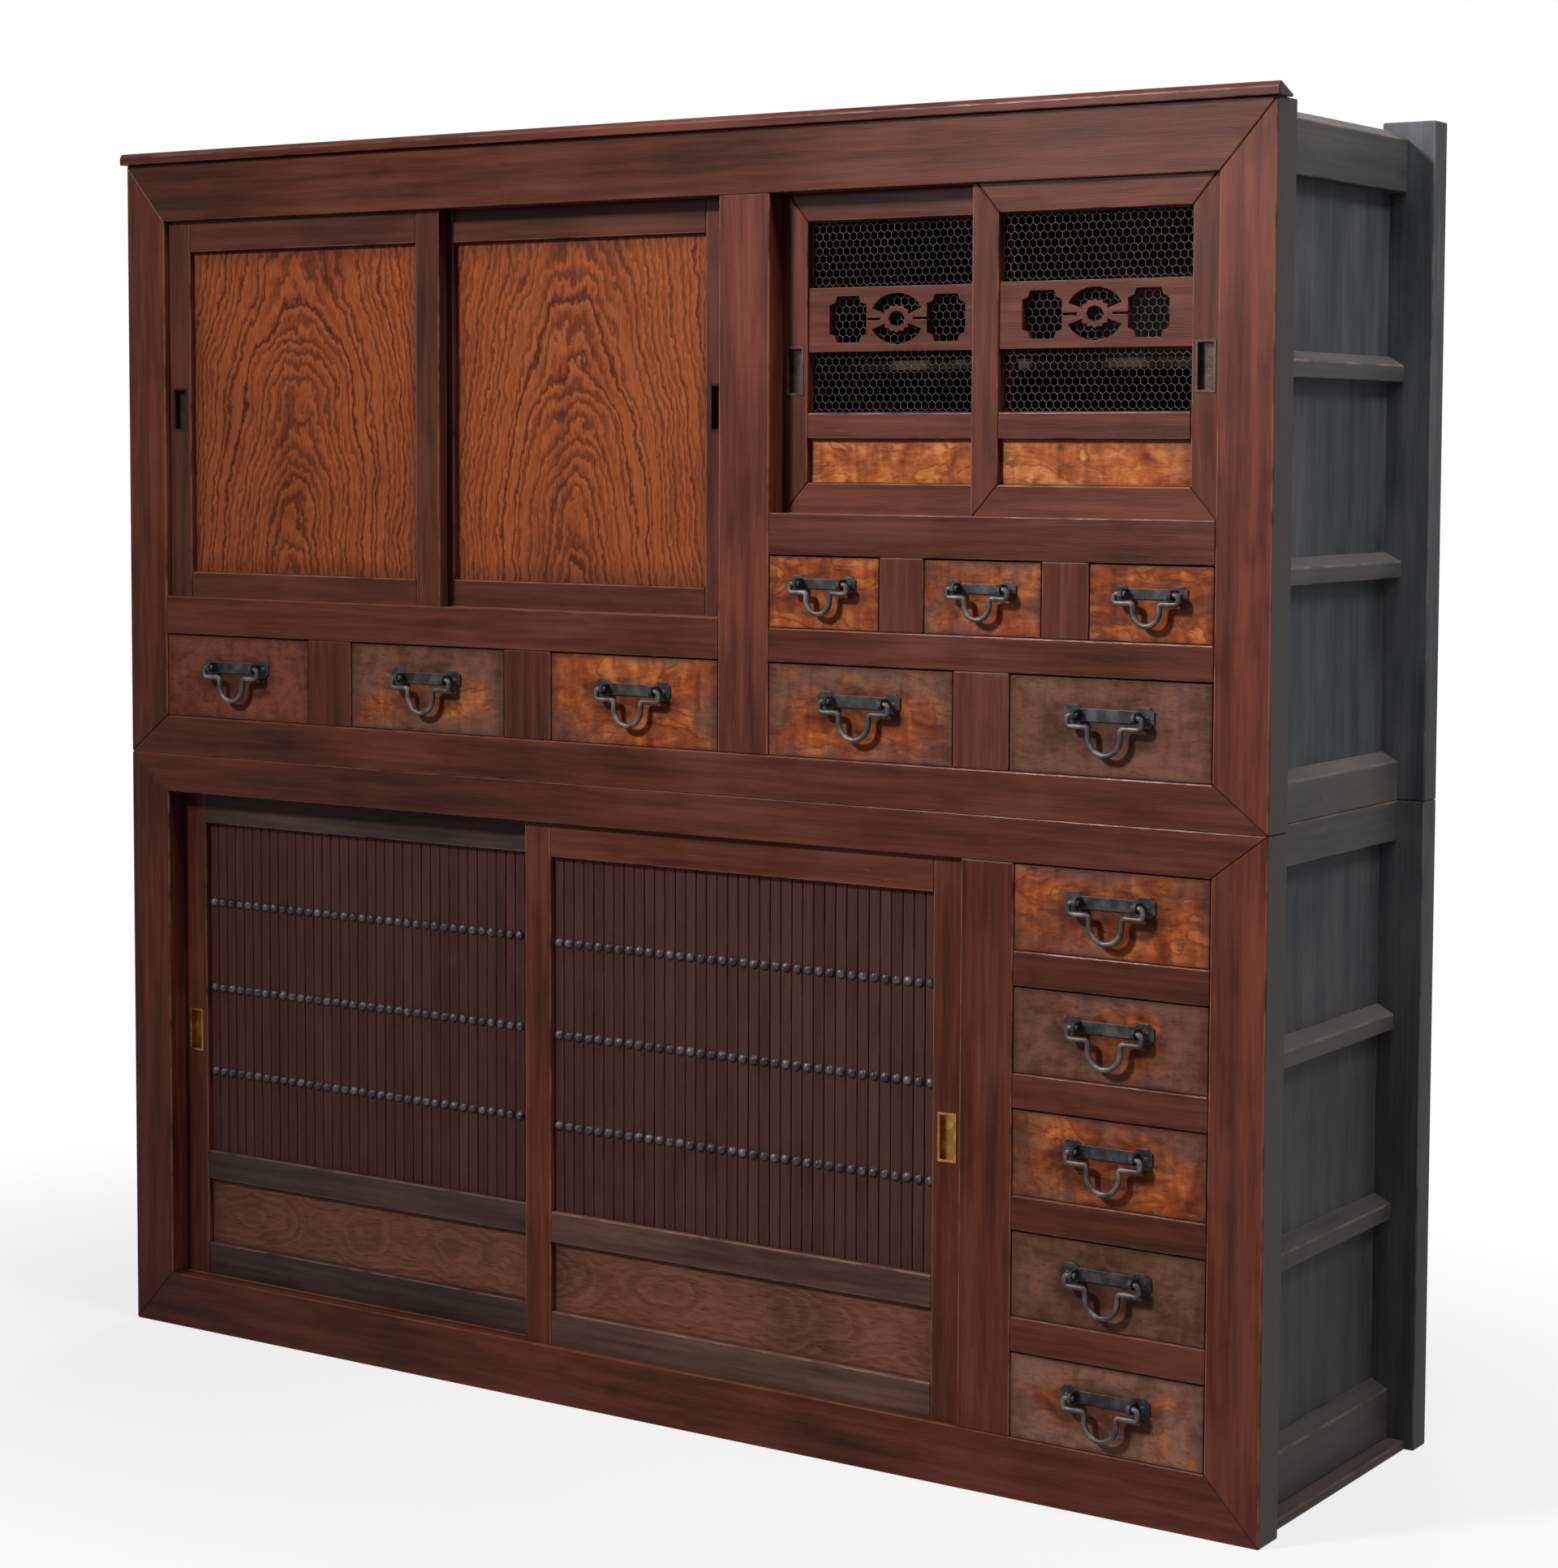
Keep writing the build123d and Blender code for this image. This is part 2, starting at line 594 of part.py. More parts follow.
def slat_door(name):
    """A door of upright slats on crossbars, over a low panel."""
    door = DOORS[name]
    x = (door.x[0] + SLAT_STILE, door.x[1] - SLAT_STILE)
    base = (door.sill + SLAT_BOTTOM_RAIL, door.sill + SLAT_BOTTOM_RAIL + SLAT_BASE_PANEL)
    slats = (base[1] + SLAT_MIDDLE_RAIL, door.head - SLAT_TOP_RAIL)
    y = infill_y(door)
    count = round((x[1] - x[0]) / SLAT_PITCH)
    pieces = [slat(span, y, slats) for span in split(x, count, SLAT_GAP)]
    bar_y = (y[1], y[1] + CROSSBAR_DEPTH)
    for share in CROSSBAR_shares:
        centre = slats[0] + share * (slats[1] - slats[0])
        pieces.append(block(x, bar_y, (centre - CROSSBAR / 2, centre + CROSSBAR / 2)))
    rails = [(door.z[0], base[0]), (base[1], slats[0]), (slats[1], door.z[1])]
    return {
        f"{name}_frame": butted_frame(door, SLAT_STILE, rails),
        f"{name}_infill": pieces + [block(x, y, base)],
        f"{name}_pull": pull(door),
    }


def on_circle(radius, degrees):
    """A point on a circle about the origin."""
    return radius * math.cos(math.radians(degrees)), radius * math.sin(math.radians(degrees))


def crescent(start, end, figure):
    """A curved slot round the ring, with a scalloped inner edge."""
    steps = round((end - start) / SCALLOP_DEGREES) * 2
    angles = [start + (end - start) * step / steps for step in range(steps + 1)]
    inside, outside = [share * figure for share in CRESCENT_shares]
    dents = [step % 2 * SCALLOP_share * figure for step in range(steps + 1)]
    outer = [on_circle(outside, angle) for angle in angles]
    inner = [on_circle(inside + dent, angle) for dent, angle in zip(dents, angles)]
    edge = outer + list(reversed(inner))
    return make_face(Polyline(*[(x * RING_WIDTH_share, z) for x, z in edge], close=True))


def lobe(figure):
    """A wide hole with a nick in each corner."""
    half_x, half_z = [share * figure / 2 for share in LOBE_shares]
    reach, nick = [share * figure for share in LOBE_NOTCH_shares]
    corner = [(half_x, half_z - reach), (half_x - nick, half_z - nick), (half_x - reach, half_z)]
    upper = corner + [(-x, z) for x, z in reversed(corner)]
    return make_face(Polyline(*upper, *[(-x, -z) for x, z in upper], close=True))


def openwork(figure):
    """The holes of a fret board: two lobes, and crescents and slits round a ring."""
    slit = Rectangle(*[share * figure for share in SLIT_shares])
    holes = [Pos(side * LOBE_CENTRE_share * figure, 0) * lobe(figure) for side in (-1, 1)]
    holes += [Pos(side * SLIT_CENTRE_share * figure, 0) * slit for side in (-1, 1)]
    holes += [crescent(*ends, figure) for ends in CRESCENT_DEGREES]
    ring = [on_circle(RING_HOLE_share * figure, 360 * side / RING_SIDES) for side in range(RING_SIDES)]
    return holes + [make_face(Polyline(*[(x * RING_WIDTH_share, z) for x, z in ring], close=True))]


def fret_board(x, y, z):
    """A pierced board across a mesh door."""
    width, height = x[1] - x[0], z[1] - z[0]
    sketch = Rectangle(width, height) - openwork(min(height, width * FIGURE_WIDTH_share))
    return extrude(facing(y[1]) * Pos(middle(x), middle(z)) * sketch, amount=y[1] - y[0])


def wire_net(x, y, z):
    """Hexagonal netting as one pierced sheet, with a plain border."""
    width, height = x[1] - x[0], z[1] - z[0]
    row_pitch = NET_PITCH * HEX_HEIGHT_share
    columns = math.floor(width / NET_PITCH - 1 / 2)
    rows = math.floor(height / row_pitch)
    hole = (NET_PITCH - NET_STRAND) / 2 / HEX_HEIGHT_share
    sketch = Rectangle(width, height)
    holes = []
    for row in range(rows):
        shift = NET_PITCH / 4 * (1 if row % 2 else -1)
        for column in range(columns):
            place = Pos(shift + (column - (columns - 1) / 2) * NET_PITCH, (row - (rows - 1) / 2) * row_pitch)
            holes.append(place * RegularPolygon(hole, 6, rotation=30))
    return extrude(facing(y[1]) * Pos(middle(x), middle(z)) * (sketch - holes), amount=y[1] - y[0])


def mesh_door(name):
    """A mitred door with netting behind a fret board, over a small panel."""
    door = DOORS[name]
    x = (door.x[0] + MESH_STILE, door.x[1] - MESH_STILE)
    field = door.head - door.sill - MESH_BOTTOM_RAIL - MESH_MIDDLE_RAIL - MESH_TOP_RAIL
    base_height, below_fret, fret_height = [share * field for share in MESH_FIELD_shares]
    base = (door.sill + MESH_BOTTOM_RAIL, door.sill + MESH_BOTTOM_RAIL + base_height)
    window = (base[1] + MESH_MIDDLE_RAIL, door.head - MESH_TOP_RAIL)
    fret = (window[0] + below_fret, window[0] + below_fret + fret_height)
    fret_y = infill_y(door, FRETWORK_SETBACK, FRETWORK)
    net_y = (fret_y[1], fret_y[1] + NET_WIRE)
    pocket = pull_pocket(door)
    frame = mitred_frame(door.x, door.y, door.z, MESH_STILE, door.z[1] - window[1], base[0] - door.z[0])
    stiles = [board - pocket for board in frame[:2]]
    return {
        f"{name}_frame": stiles + frame[2:] + [block(x, door.y, (base[1], window[0]))],
        f"{name}_boards": [fret_board(x, fret_y, fret), block(x, infill_y(door), base)],
        f"{name}_net": [wire_net(x, net_y, window)],
        f"{name}_pull": pull(door),
    }


# Drawers and their handles

def drawer_spans(cell):
    """The spans of a drawer's front in its hole."""
    x = (cell.x[0] + DRAWER_SIDE_PLAY, cell.x[1] - DRAWER_SIDE_PLAY)
    y = (FRONT_Y + DRAWER_SETBACK, FRONT_Y + DRAWER_SETBACK + DRAWER_FRONT)
    return x, y, (cell.z[0] + RUN, cell.z[1] - DRAWER_TOP_PLAY)


def bail_axis(cell):
    """The middle of the line that a drawer's bail swings about."""
    height = middle(cell.z) + PLATE_RISE_share * (cell.z[1] - cell.z[0])
    return middle(cell.x), FRONT_Y + DRAWER_SETBACK - EYE_STANDOFF, height


def handle_plate(cell):
    """The back plate: a waisted bar with wide ends whose corners are cut off."""
    share = cell.handle_share
    x, _, z = bail_axis(cell)
    outline = Rectangle(PLATE_LENGTH * share, PLATE_WAIST * share)
    end = Rectangle(PLATE_END_LENGTH * share, PLATE_END_HEIGHT * share)
    end = chamfer(end.vertices(), PLATE_END_CUT * share)
    offset = (PLATE_LENGTH - PLATE_END_LENGTH) / 2 * share
    outline += [Pos(-offset, 0) * end, Pos(offset, 0) * end]
    return extrude(facing(FRONT_Y + DRAWER_SETBACK) * Pos(x, z) * outline, amount=PLATE)


def handle_eye(cell, side):
    """One pierced lug on the plate, filed to flats round its nose."""
    x, y, z = bail_axis(cell)
    plate_face = FRONT_Y + DRAWER_SETBACK - PLATE
    nose = RegularPolygon(EYE_RADIUS, EYE_SIDES, major_radius=False, rotation=180 / EYE_SIDES)
    shank = Pos((y + plate_face) / 2, z) * Rectangle(plate_face - y, EYE_RADIUS * 2)
    outline = Pos(y, z) * nose + shank - Pos(y, z) * Circle(BAIL_ROD + BAIL_PLAY)
    centre = x + side * EYE_SPACING / 2 * cell.handle_share
    plane = Plane(origin=(centre - EYE_THICKNESS / 2, 0, 0), x_dir=(0, 1, 0), z_dir=(1, 0, 0))
    return extrude(plane * outline, amount=EYE_THICKNESS)


def drawer(cell):
    """Front, bottom, sides and back, with the handle's plate and eyes."""
    x, y, z = drawer_spans(cell)
    box_y = (y[1], y[0] + DRAWER_LENGTH)
    floor = z[0] + DRAWER_BOTTOM
    top = z[1] - DRAWER_SIDE_DROP
    inner = (x[0] + DRAWER_SIDE, x[1] - DRAWER_SIDE)
    boards = [
        block(x, y, z),
        block(x, box_y, (z[0], floor)),
        block((x[0], inner[0]), box_y, (floor, top)),
        block((inner[1], x[1]), box_y, (floor, top)),
        block(inner, (box_y[1] - DRAWER_SIDE, box_y[1]), (floor, top)),
    ]
    return boards + [handle_plate(cell)] + [handle_eye(cell, side) for side in (-1, 1)]


def cut_corners(points, cut):
    """A bent line with each corner replaced by a short flat, as a smith's bend is."""
    bent = [points[0]]
    for before, corner, after in zip(points, points[1:], points[2:]):
        for end in (before, after):
            step = cut / math.dist(corner, end)
            bent.append(tuple(c + (e - c) * step for c, e in zip(corner, end)))
    return bent + [points[-1]]


def bail(cell):
    """The shouldered drop handle: an eight-sided rod whose tails turn in through the eyes."""
    share = cell.handle_share
    x, y, z = bail_axis(cell)
    eye = EYE_SPACING / 2 * share
    outer, inner = eye + BAIL_OVERHANG, BAIL_HALF_WIDTH * share
    shoulder, drop = BAIL_SHOULDER * share, BAIL_DROP * share
    bend = min(BAIL_BEND * share, (shoulder - BAIL_ROD) / 2)
    bow = min(inner, drop - shoulder - bend * 2)
    tail = (eye - EYE_THICKNESS / 2 - BAIL_TAIL, 0)
    half = cut_corners([tail, (outer, 0), (outer, -shoulder), (inner, -shoulder), (inner, bow - drop)], bend)
    turns = [on_circle(1, -180 * step / BAIL_BOW_STEPS) for step in range(1, BAIL_BOW_STEPS)]
    points = half + [(inner * px, bow - drop + bow * pz) for px, pz in turns]
    points += [(-px, pz) for px, pz in reversed(half)]
    path = Polyline(*[(x + px, y, z + pz) for px, pz in points])
    section = Plane(origin=path @ 0, z_dir=path % 0) * RegularPolygon(BAIL_ROD, BAIL_SIDES)
    return [sweep(section, path=path, transition=Transition.RIGHT)]


def nodes():
    """Every node's name with its solids."""
    made = {
        "upper_front_frame": upper_front_frame(),
        "upper_front_dividers": upper_front_dividers(),
        "upper_side_frames": upper_side_frames(),
        "upper_decks": upper_decks(),
        "cornice": cornice(),
        "lower_front_frame": lower_front_frame(),
        "lower_front_dividers": lower_front_dividers(),
        "lower_side_frames": lower_side_frames(),
        "lower_decks": lower_decks(),
        "side_panels": side_panels(),
        "base_sills": base_sills(),
        "back_boards": back_boards(),
        "partitions": partitions(),
        "guides_and_cleats": guides_and_cleats(),
    }
    for name in DOORS:
        kinds = {"panel": panel_door, "mesh": mesh_door, "slat": slat_door}
        made |= kinds[name.split("_")[0]](name)
    for cell in CELLS:
        made[cell.name] = drawer(cell)
        made[cell.name.replace("drawer", "bail")] = bail(cell)
    return made


os.makedirs("parts", exist_ok=True)
for node, pieces in nodes().items():
    export_step(Compound([solid for piece in pieces for solid in piece.solids()]), f"parts/{node}.step")
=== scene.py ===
"""Looks of a two-section kitchen chest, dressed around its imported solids."""
from __future__ import annotations

import json
import logging
import math
import random
from dataclasses import dataclass, field
from enum import Enum
from typing import Any, Callable, Iterable, Sequence, Union

import bmesh
import bpy
from mathutils import Matrix, Vector

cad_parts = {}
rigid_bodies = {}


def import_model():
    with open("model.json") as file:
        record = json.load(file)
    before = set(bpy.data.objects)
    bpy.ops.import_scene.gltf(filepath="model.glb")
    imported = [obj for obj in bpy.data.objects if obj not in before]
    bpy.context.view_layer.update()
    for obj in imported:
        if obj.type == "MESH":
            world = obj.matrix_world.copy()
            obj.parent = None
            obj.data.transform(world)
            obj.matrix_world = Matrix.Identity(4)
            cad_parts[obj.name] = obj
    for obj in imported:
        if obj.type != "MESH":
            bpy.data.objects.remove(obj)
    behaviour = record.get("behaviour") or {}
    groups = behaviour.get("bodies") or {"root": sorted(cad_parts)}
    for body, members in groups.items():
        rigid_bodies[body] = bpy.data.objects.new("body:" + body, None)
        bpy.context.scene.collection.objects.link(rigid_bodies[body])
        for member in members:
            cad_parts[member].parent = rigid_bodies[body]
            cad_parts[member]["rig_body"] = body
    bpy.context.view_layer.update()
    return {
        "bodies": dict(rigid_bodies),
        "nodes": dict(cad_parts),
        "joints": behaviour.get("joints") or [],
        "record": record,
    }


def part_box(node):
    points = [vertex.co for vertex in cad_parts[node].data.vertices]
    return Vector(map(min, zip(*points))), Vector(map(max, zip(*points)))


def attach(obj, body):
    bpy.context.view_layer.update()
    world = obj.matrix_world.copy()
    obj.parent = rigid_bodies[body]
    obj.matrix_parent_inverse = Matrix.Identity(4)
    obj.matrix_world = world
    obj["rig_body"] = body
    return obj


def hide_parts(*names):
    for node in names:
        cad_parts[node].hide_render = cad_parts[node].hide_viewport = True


LOG = logging.getLogger("kitchen_chest")
# What a mesh carries for its finish: the place along, across and through its board in metres, the same in
# shares of the half sizes, a number that tells boards apart, and marks on eased edges and sooty sides.
GRAIN = "grain"
SPAN = "span"
SEED = "seed"
EDGE = "edge"
SOOT = "soot"
# The first seed of the random draws.
FIRST_SEED = 1868
# Points of a mesh that are nearer than this count as one, in metres.
WELD = 1e-6
# The same for nets and nail heads, whose points lie further apart.
LOOSE_WELD = 1e-4
# How many decimals of a metre tell two corners apart.
CORNER_DECIMALS = 6
# Faces that turn by less are one face, and an edge that turns by more is eased.
FLAT_ANGLE = math.radians(0.5)
SHARP_ANGLE = math.radians(30)
# The turn that makes a shape drawn lying down face the front.
FACE_FRONT = Matrix.Rotation(math.radians(90), 3, "X")
# The faint gloss of old lacquer.
LACQUER_SPECULAR = 0.06
WHITE = (1.0, 1.0, 1.0)

Colour = tuple[float, float, float]
Place = tuple[float, float, float]
Term = Union[float, "Socket"]


def paint(red: int, green: int, blue: int) -> Colour:
    """Turn display values from 0 to 255 into a linear colour.

    Args:
        red: Red as a screen shows it.
        green: Green as a screen shows it.
        blue: Blue as a screen shows it.

    Returns:
        The linear colour.
    """
    shares = [value / 255 for value in (red, green, blue)]
    linear = [s / 12.92 if s <= 0.04045 else ((s + 0.055) / 1.055) ** 2.4 for s in shares]
    return linear[0], linear[1], linear[2]


class Socket:
    """An output of a shader node that can be used in sums."""

    def __init__(self, shader: "Shader", output: bpy.types.NodeSocket) -> None:
        """Keep the shader and the output."""
        self.shader = shader
        self.output = output

    def _math(self, operation: str, *terms: Term) -> "Socket":
        """Add a Math node on these terms."""
        return self.shader.node("ShaderNodeMath", {"operation": operation}, dict(enumerate(terms)))

    def __add__(self, other: Term) -> "Socket":
        """Add."""
        return self._math("ADD", self, other)

    def __radd__(self, other: Term) -> "Socket":
        """Add from the left."""
        return self._math("ADD", other, self)

    def __sub__(self, other: Term) -> "Socket":
        """Subtract."""
        return self._math("SUBTRACT", self, other)

    def __rsub__(self, other: Term) -> "Socket":
        """Subtract from a number."""
        return self._math("SUBTRACT", other, self)

    def __mul__(self, other: Term) -> "Socket":
        """Multiply."""
        return self._math("MULTIPLY", self, other)

    def __rmul__(self, other: Term) -> "Socket":
        """Multiply from the left."""
        return self._math("MULTIPLY", other, self)

    def root(self) -> "Socket":
        """Take the square root."""
        return self._math("SQRT", self)

    def size(self) -> "Socket":
        """Drop the sign."""
        return self._math("ABSOLUTE", self)

    def top(self, other: Term) -> "Socket":
        """Take the larger of two."""
        return self._math("MAXIMUM", self, other)

    def fraction(self) -> "Socket":
        """Keep what is after the decimal point."""
        return self._math("FRACT", self)

    def fade(self, low: float, high: float) -> "Socket":
        """Rise smoothly from 0 at low to 1 at high."""
        return self.shader.node(
            "ShaderNodeMapRange", {"interpolation_type": "SMOOTHSTEP"}, {0: self, 1: low, 2: high})


class Shader:
    """The node tree of one finish."""

    def __init__(self, tree: bpy.types.NodeTree) -> None:
        """Start from an empty tree."""
        self.tree = tree
        self.tree.nodes.clear()

    def node(self, kind: str, settings: dict[str, Any], inputs: dict[Any, Any], out: int = 0) -> Socket:
        """Add a node: its settings first, then the values or links of its sockets.

        Args:
            kind: The node's type.
            settings: Properties of the node; "stops" holds a ramp's places and colours.
            inputs: Values, colours or sockets by input name or number.
            out: The number of the output to return.

        Returns:
            The chosen output.
        """
        made = self.tree.nodes.new(kind)
        for key, value in settings.items():
            if key == "stops":
                self._stops(made, value)
            else:
                setattr(made, key, value)
        for key, value in inputs.items():
            entry = made.inputs[key]
            if isinstance(value, Socket):
                self.tree.links.new(value.output, entry)
            elif entry.type == "RGBA" and len(value) == 3:
                entry.default_value = (*value, 1.0)
            else:
                entry.default_value = value
        return Socket(self, made.outputs[out] if made.outputs else None)

    def _stops(self, made: bpy.types.Node, stops: Sequence[tuple[float, Colour]]) -> None:
        """Set a ramp's stops.

        Args:
            made: The ramp's node.
            stops: The place and the colour of each stop.
        """
        elements = made.color_ramp.elements
        while len(elements) < len(stops):
            elements.new(1.0)
        for element, (place, colour) in zip(elements, stops):
            element.position = place
            element.color = (*colour, 1.0)

    def vector(self, name: str) -> Socket:
        """Read a vector that the mesh carries."""
        return self.node("ShaderNodeAttribute", {"attribute_name": name}, {}, 1)

    def number(self, name: str) -> Socket:
        """Read a number that the mesh carries."""
        return self.node("ShaderNodeAttribute", {"attribute_name": name}, {}, 2)

    def place(self) -> Socket:
        """Read the place in the chest."""
        return self.node("ShaderNodeTexCoord", {}, {}, 3)

    def axes(self, vector: Socket) -> list[Socket]:
        """Split a vector into its three numbers."""
        first = self.node("ShaderNodeSeparateXYZ", {}, {0: vector})
        return [Socket(self, output) for output in first.output.node.outputs]

    def border(self) -> Socket:
        """Read how near its rim a board is, from 0 in the middle to 1."""
        first, second, _ = self.axes(self.vector(SPAN))
        return first.size().top(second.size())

    def stretch(self, vector: Socket, scale: Sequence[float]) -> Socket:
        """Scale a vector along each axis."""
        return self.node("ShaderNodeVectorMath", {"operation": "MULTIPLY"}, {0: vector, 1: tuple(scale)})

    def noise(
        self, vector: Socket, scale: Sequence[float], detail: float, turn: Term, swirl: float = 0.0,
    ) -> Socket:
        """Add cloudy noise.

        Args:
            vector: Where to read it.
            scale: How many lumps per metre along each axis.
            detail: How many finer layers it has.
            turn: A number that picks another patch of noise.
            swirl: How much it is stirred.

        Returns:
            The noise, mostly from 0.3 to 0.7.
        """
        inputs = {
            "Vector": self.stretch(vector, scale), "W": turn,
            "Scale": 1.0, "Detail": detail, "Distortion": swirl,
        }
        return self.node("ShaderNodeTexNoise", {"noise_dimensions": "4D"}, inputs)

    def ramp(self, factor: Socket, *stops: tuple[float, Colour]) -> Socket:
        """Turn a number into a colour."""
        return self.node("ShaderNodeValToRGB", {"stops": stops}, {0: factor})

    def mix(self, factor: Term, first: Any, second: Any) -> Socket:
        """Mix two colours."""
        return self.node("ShaderNodeMix", {"data_type": "RGBA"}, {0: factor, 6: first, 7: second}, 2)

    def shade(self, factor: Term, base: Any, tint: Any) -> Socket:
        """Multiply a colour by a tint, by a factor."""
        settings = {"data_type": "RGBA", "blend_type": "MULTIPLY"}
        return self.node("ShaderNodeMix", settings, {0: factor, 6: base, 7: tint}, 2)

    def relief(self, height: Socket, depth: float, strength: float = 1.0) -> Socket:
        """Turn heights into a bumped normal."""
        return self.node("ShaderNodeBump", {}, {"Height": height, "Distance": depth, "Strength": strength})

    def surface(self, inputs: dict[str, Any]) -> None:
        """Close the tree with one Principled shader."""
        shader = self.node("ShaderNodeBsdfPrincipled", {}, inputs)
        self.node("ShaderNodeOutputMaterial", {}, {0: shader})


class Slot(Enum):
    """The record's material slots."""

    FRAME = "frame_lacquer"
    SIDE = "side_wood"
    INNER = "inner_wood"
    DOOR = "door_lacquer"
    KEYAKI = "keyaki"
    BURL = "burl"
    SLAT = "slat_wood"
    IRON = "iron"
    WIRE = "wire"
    BRASS = "brass"


@dataclass(frozen=True)
class Finish:
    """The finish of a surface, which becomes one material."""

    name: str

    def material(self) -> bpy.types.Material:
        """Build the finish.

        Returns:
            The material.
        """
        made = bpy.data.materials.new(self.name)
        made.use_nodes = True
        self.draw(Shader(made.node_tree))
        return made

    def draw(self, shader: Shader) -> None:
        """Draw the finish's nodes in an empty tree."""
        raise NotImplementedError


@dataclass(frozen=True)
class Lacquer(Finish):
    """Wiped lacquer over straight-grained wood."""

    dark: Colour
    middle: Colour
    light: Colour
    # Pale worn colour, also used as a painted highlight along eased edges.
    worn: Colour
    roughness: float = 0.31
    soot: Colour = paint(66, 66, 68)
    blotch_tint: Colour = (0.56, 0.52, 0.52)
    blotch_share: float = 0.4
    scuff_share: float = 0.4
    soot_share: float = 0.85
    wear_and_highlight_share: float = 0.6

    def draw(self, shader: Shader) -> None:
        """Draw the finish's nodes.

        Args:
            shader: The empty tree.
        """
        grain, seed = shader.vector(GRAIN), shader.number(SEED)
        streak = shader.noise(grain, scale=(5, 95, 95), detail=5, turn=seed * 41) - 0.5
        fibre = shader.noise(grain, scale=(38, 900, 900), detail=2, turn=seed * 23) - 0.5
        cloud = shader.noise(grain, scale=(4, 7, 7), detail=3, turn=seed * 67) - 0.5
        blotch = shader.noise(grain, scale=(15, 36, 36), detail=5, turn=seed * 31)
        tone = streak * 0.9 + fibre * 0.25 + cloud * 0.8 + seed * 0.1 + 0.48
        colour = shader.ramp(tone, (0.3, self.dark), (0.52, self.middle), (0.74, self.light))
        colour = shader.shade(blotch.fade(0.53, 0.7) * self.blotch_share, colour, self.blotch_tint)
        rub = shader.noise(grain, scale=(26, 40, 40), detail=3, turn=seed * 13)
        scuff = shader.noise(grain, scale=(34, 300, 300), detail=4, turn=seed * 57)
        # Real wear and scuffs, and along eased edges also a painted highlight.
        wear = (shader.number(EDGE) * rub.fade(0.34, 0.56)).top(scuff.fade(0.64, 0.8) * self.scuff_share)
        colour = shader.mix(shader.number(SOOT) * self.soot_share, colour, self.soot)
        colour = shader.mix(wear * self.wear_and_highlight_share, colour, self.worn)
        rough = self.roughness + cloud * 0.16 + fibre * 0.1 - wear * 0.12
        shader.surface({
            "Base Color": colour, "Roughness": rough, "Specular IOR Level": LACQUER_SPECULAR,
            "Normal": shader.relief(streak * 0.5 + fibre, depth=0.0004, strength=0.5),
        })


@dataclass(frozen=True)
class FlatSawn(Finish):
    """Flat-sawn keyaki: nested arches in the middle of a board and straight lines at its sides."""

    line: Colour
    late: Colour
    early: Colour
    glow: Colour
    rings: float = 122.0
    depth: float = 0.085
    lean: float = 0.26
    swell: float = 0.07
    wander: float = 0.1
    contrast: float = 0.95
    curl: float = 0.016
    jag: float = 0.011
    core: float = 0.75
    ripple: float = 0.022
    roughness: float = 0.42
    ripple_tint: Colour = (0.5, 0.46, 0.46)
    heart_tint: Colour = (0.6, 0.52, 0.5)
    pore_tint: Colour = (0.42, 0.34, 0.3)
    cloud_tint: Colour = (0.54, 0.48, 0.46)
    ripple_share: float = 0.5
    heart_share: float = 0.5
    pore_share: float = 0.75
    cloud_share: float = 0.65
    rim_grime_and_shade_share: float = 0.35
    edge_share: float = 0.3

    def draw(self, shader: Shader) -> None:
        """Draw the finish's nodes.

        Args:
            shader: The empty tree.
        """
        grain, seed = shader.vector(GRAIN), shader.number(SEED)
        along, across, _ = shader.axes(grain)
        sway = shader.noise(grain, scale=(2.6, 0.6, 0.6), detail=2, turn=seed * 31) - 0.5
        bulge = shader.noise(grain, scale=(5.5, 0.6, 0.6), detail=2, turn=seed * 17 + 5) - 0.5
        ripple = shader.noise(grain, scale=(7, 16, 16), detail=3, turn=seed * 47) - 0.5
        curl = shader.noise(grain, scale=(22, 38, 38), detail=3, turn=seed * 61) - 0.5
        jag = shader.noise(grain, scale=(90, 150, 150), detail=4, turn=seed * 11) - 0.5
        side = across + sway * self.wander
        deep = self.depth + along * self.lean + bulge * self.swell
        radius = (side * side + deep * deep).root()
        radius = radius + ripple * self.ripple + curl * self.curl + jag * self.jag
        turns = radius * self.rings
        ring = turns.fraction()
        year = shader.node(
            "ShaderNodeTexNoise", {"noise_dimensions": "1D"},
            {"W": turns * 0.7 + seed * 9, "Scale": 1.0, "Detail": 1.0})
        pore = shader.noise(grain, scale=(60, 1100, 1100), detail=3, turn=seed * 7)
        cloud = shader.noise(grain, scale=(5, 9, 9), detail=4, turn=seed * 3)
        body = shader.mix(cloud.fade(0.35, 0.65), self.early, self.glow)
        lines = shader.ramp(
            ring, (0.0, self.line), (0.2, self.late), (0.46, self.early), (0.74, self.glow),
            (0.92, self.late))
        heart = side.size().fade(0.1, 0.02) * self.core
        colour = shader.mix(year.fade(0.15, 0.75).top(heart) * self.contrast, body, lines)
        colour = shader.shade(ripple.fade(0.06, 0.2) * self.ripple_share, colour, self.ripple_tint)
        colour = shader.shade(heart * curl.fade(-0.05, 0.15) * self.heart_share, colour, self.heart_tint)
        colour = shader.shade(pore.fade(0.48, 0.66) * self.pore_share, colour, self.pore_tint)
        colour = shader.shade(cloud.fade(0.46, 0.7) * self.cloud_share, colour, self.cloud_tint)
        # Darker near the frame and on eased edges: grime and painted shade where the panel sits in its
        # frame.
        rim = shader.border().fade(0.86, 0.98)
        dark = rim * self.rim_grime_and_shade_share + shader.number(EDGE) * self.edge_share
        colour = shader.mix(dark, colour, self.line)
        rough = self.roughness + ring * 0.1 + pore * 0.1 - 0.1
        shader.surface({
            "Base Color": colour, "Roughness": rough, "Specular IOR Level": LACQUER_SPECULAR,
            "Normal": shader.relief(ring * 0.3 - pore * 0.5, depth=0.0004, strength=0.35),
        })


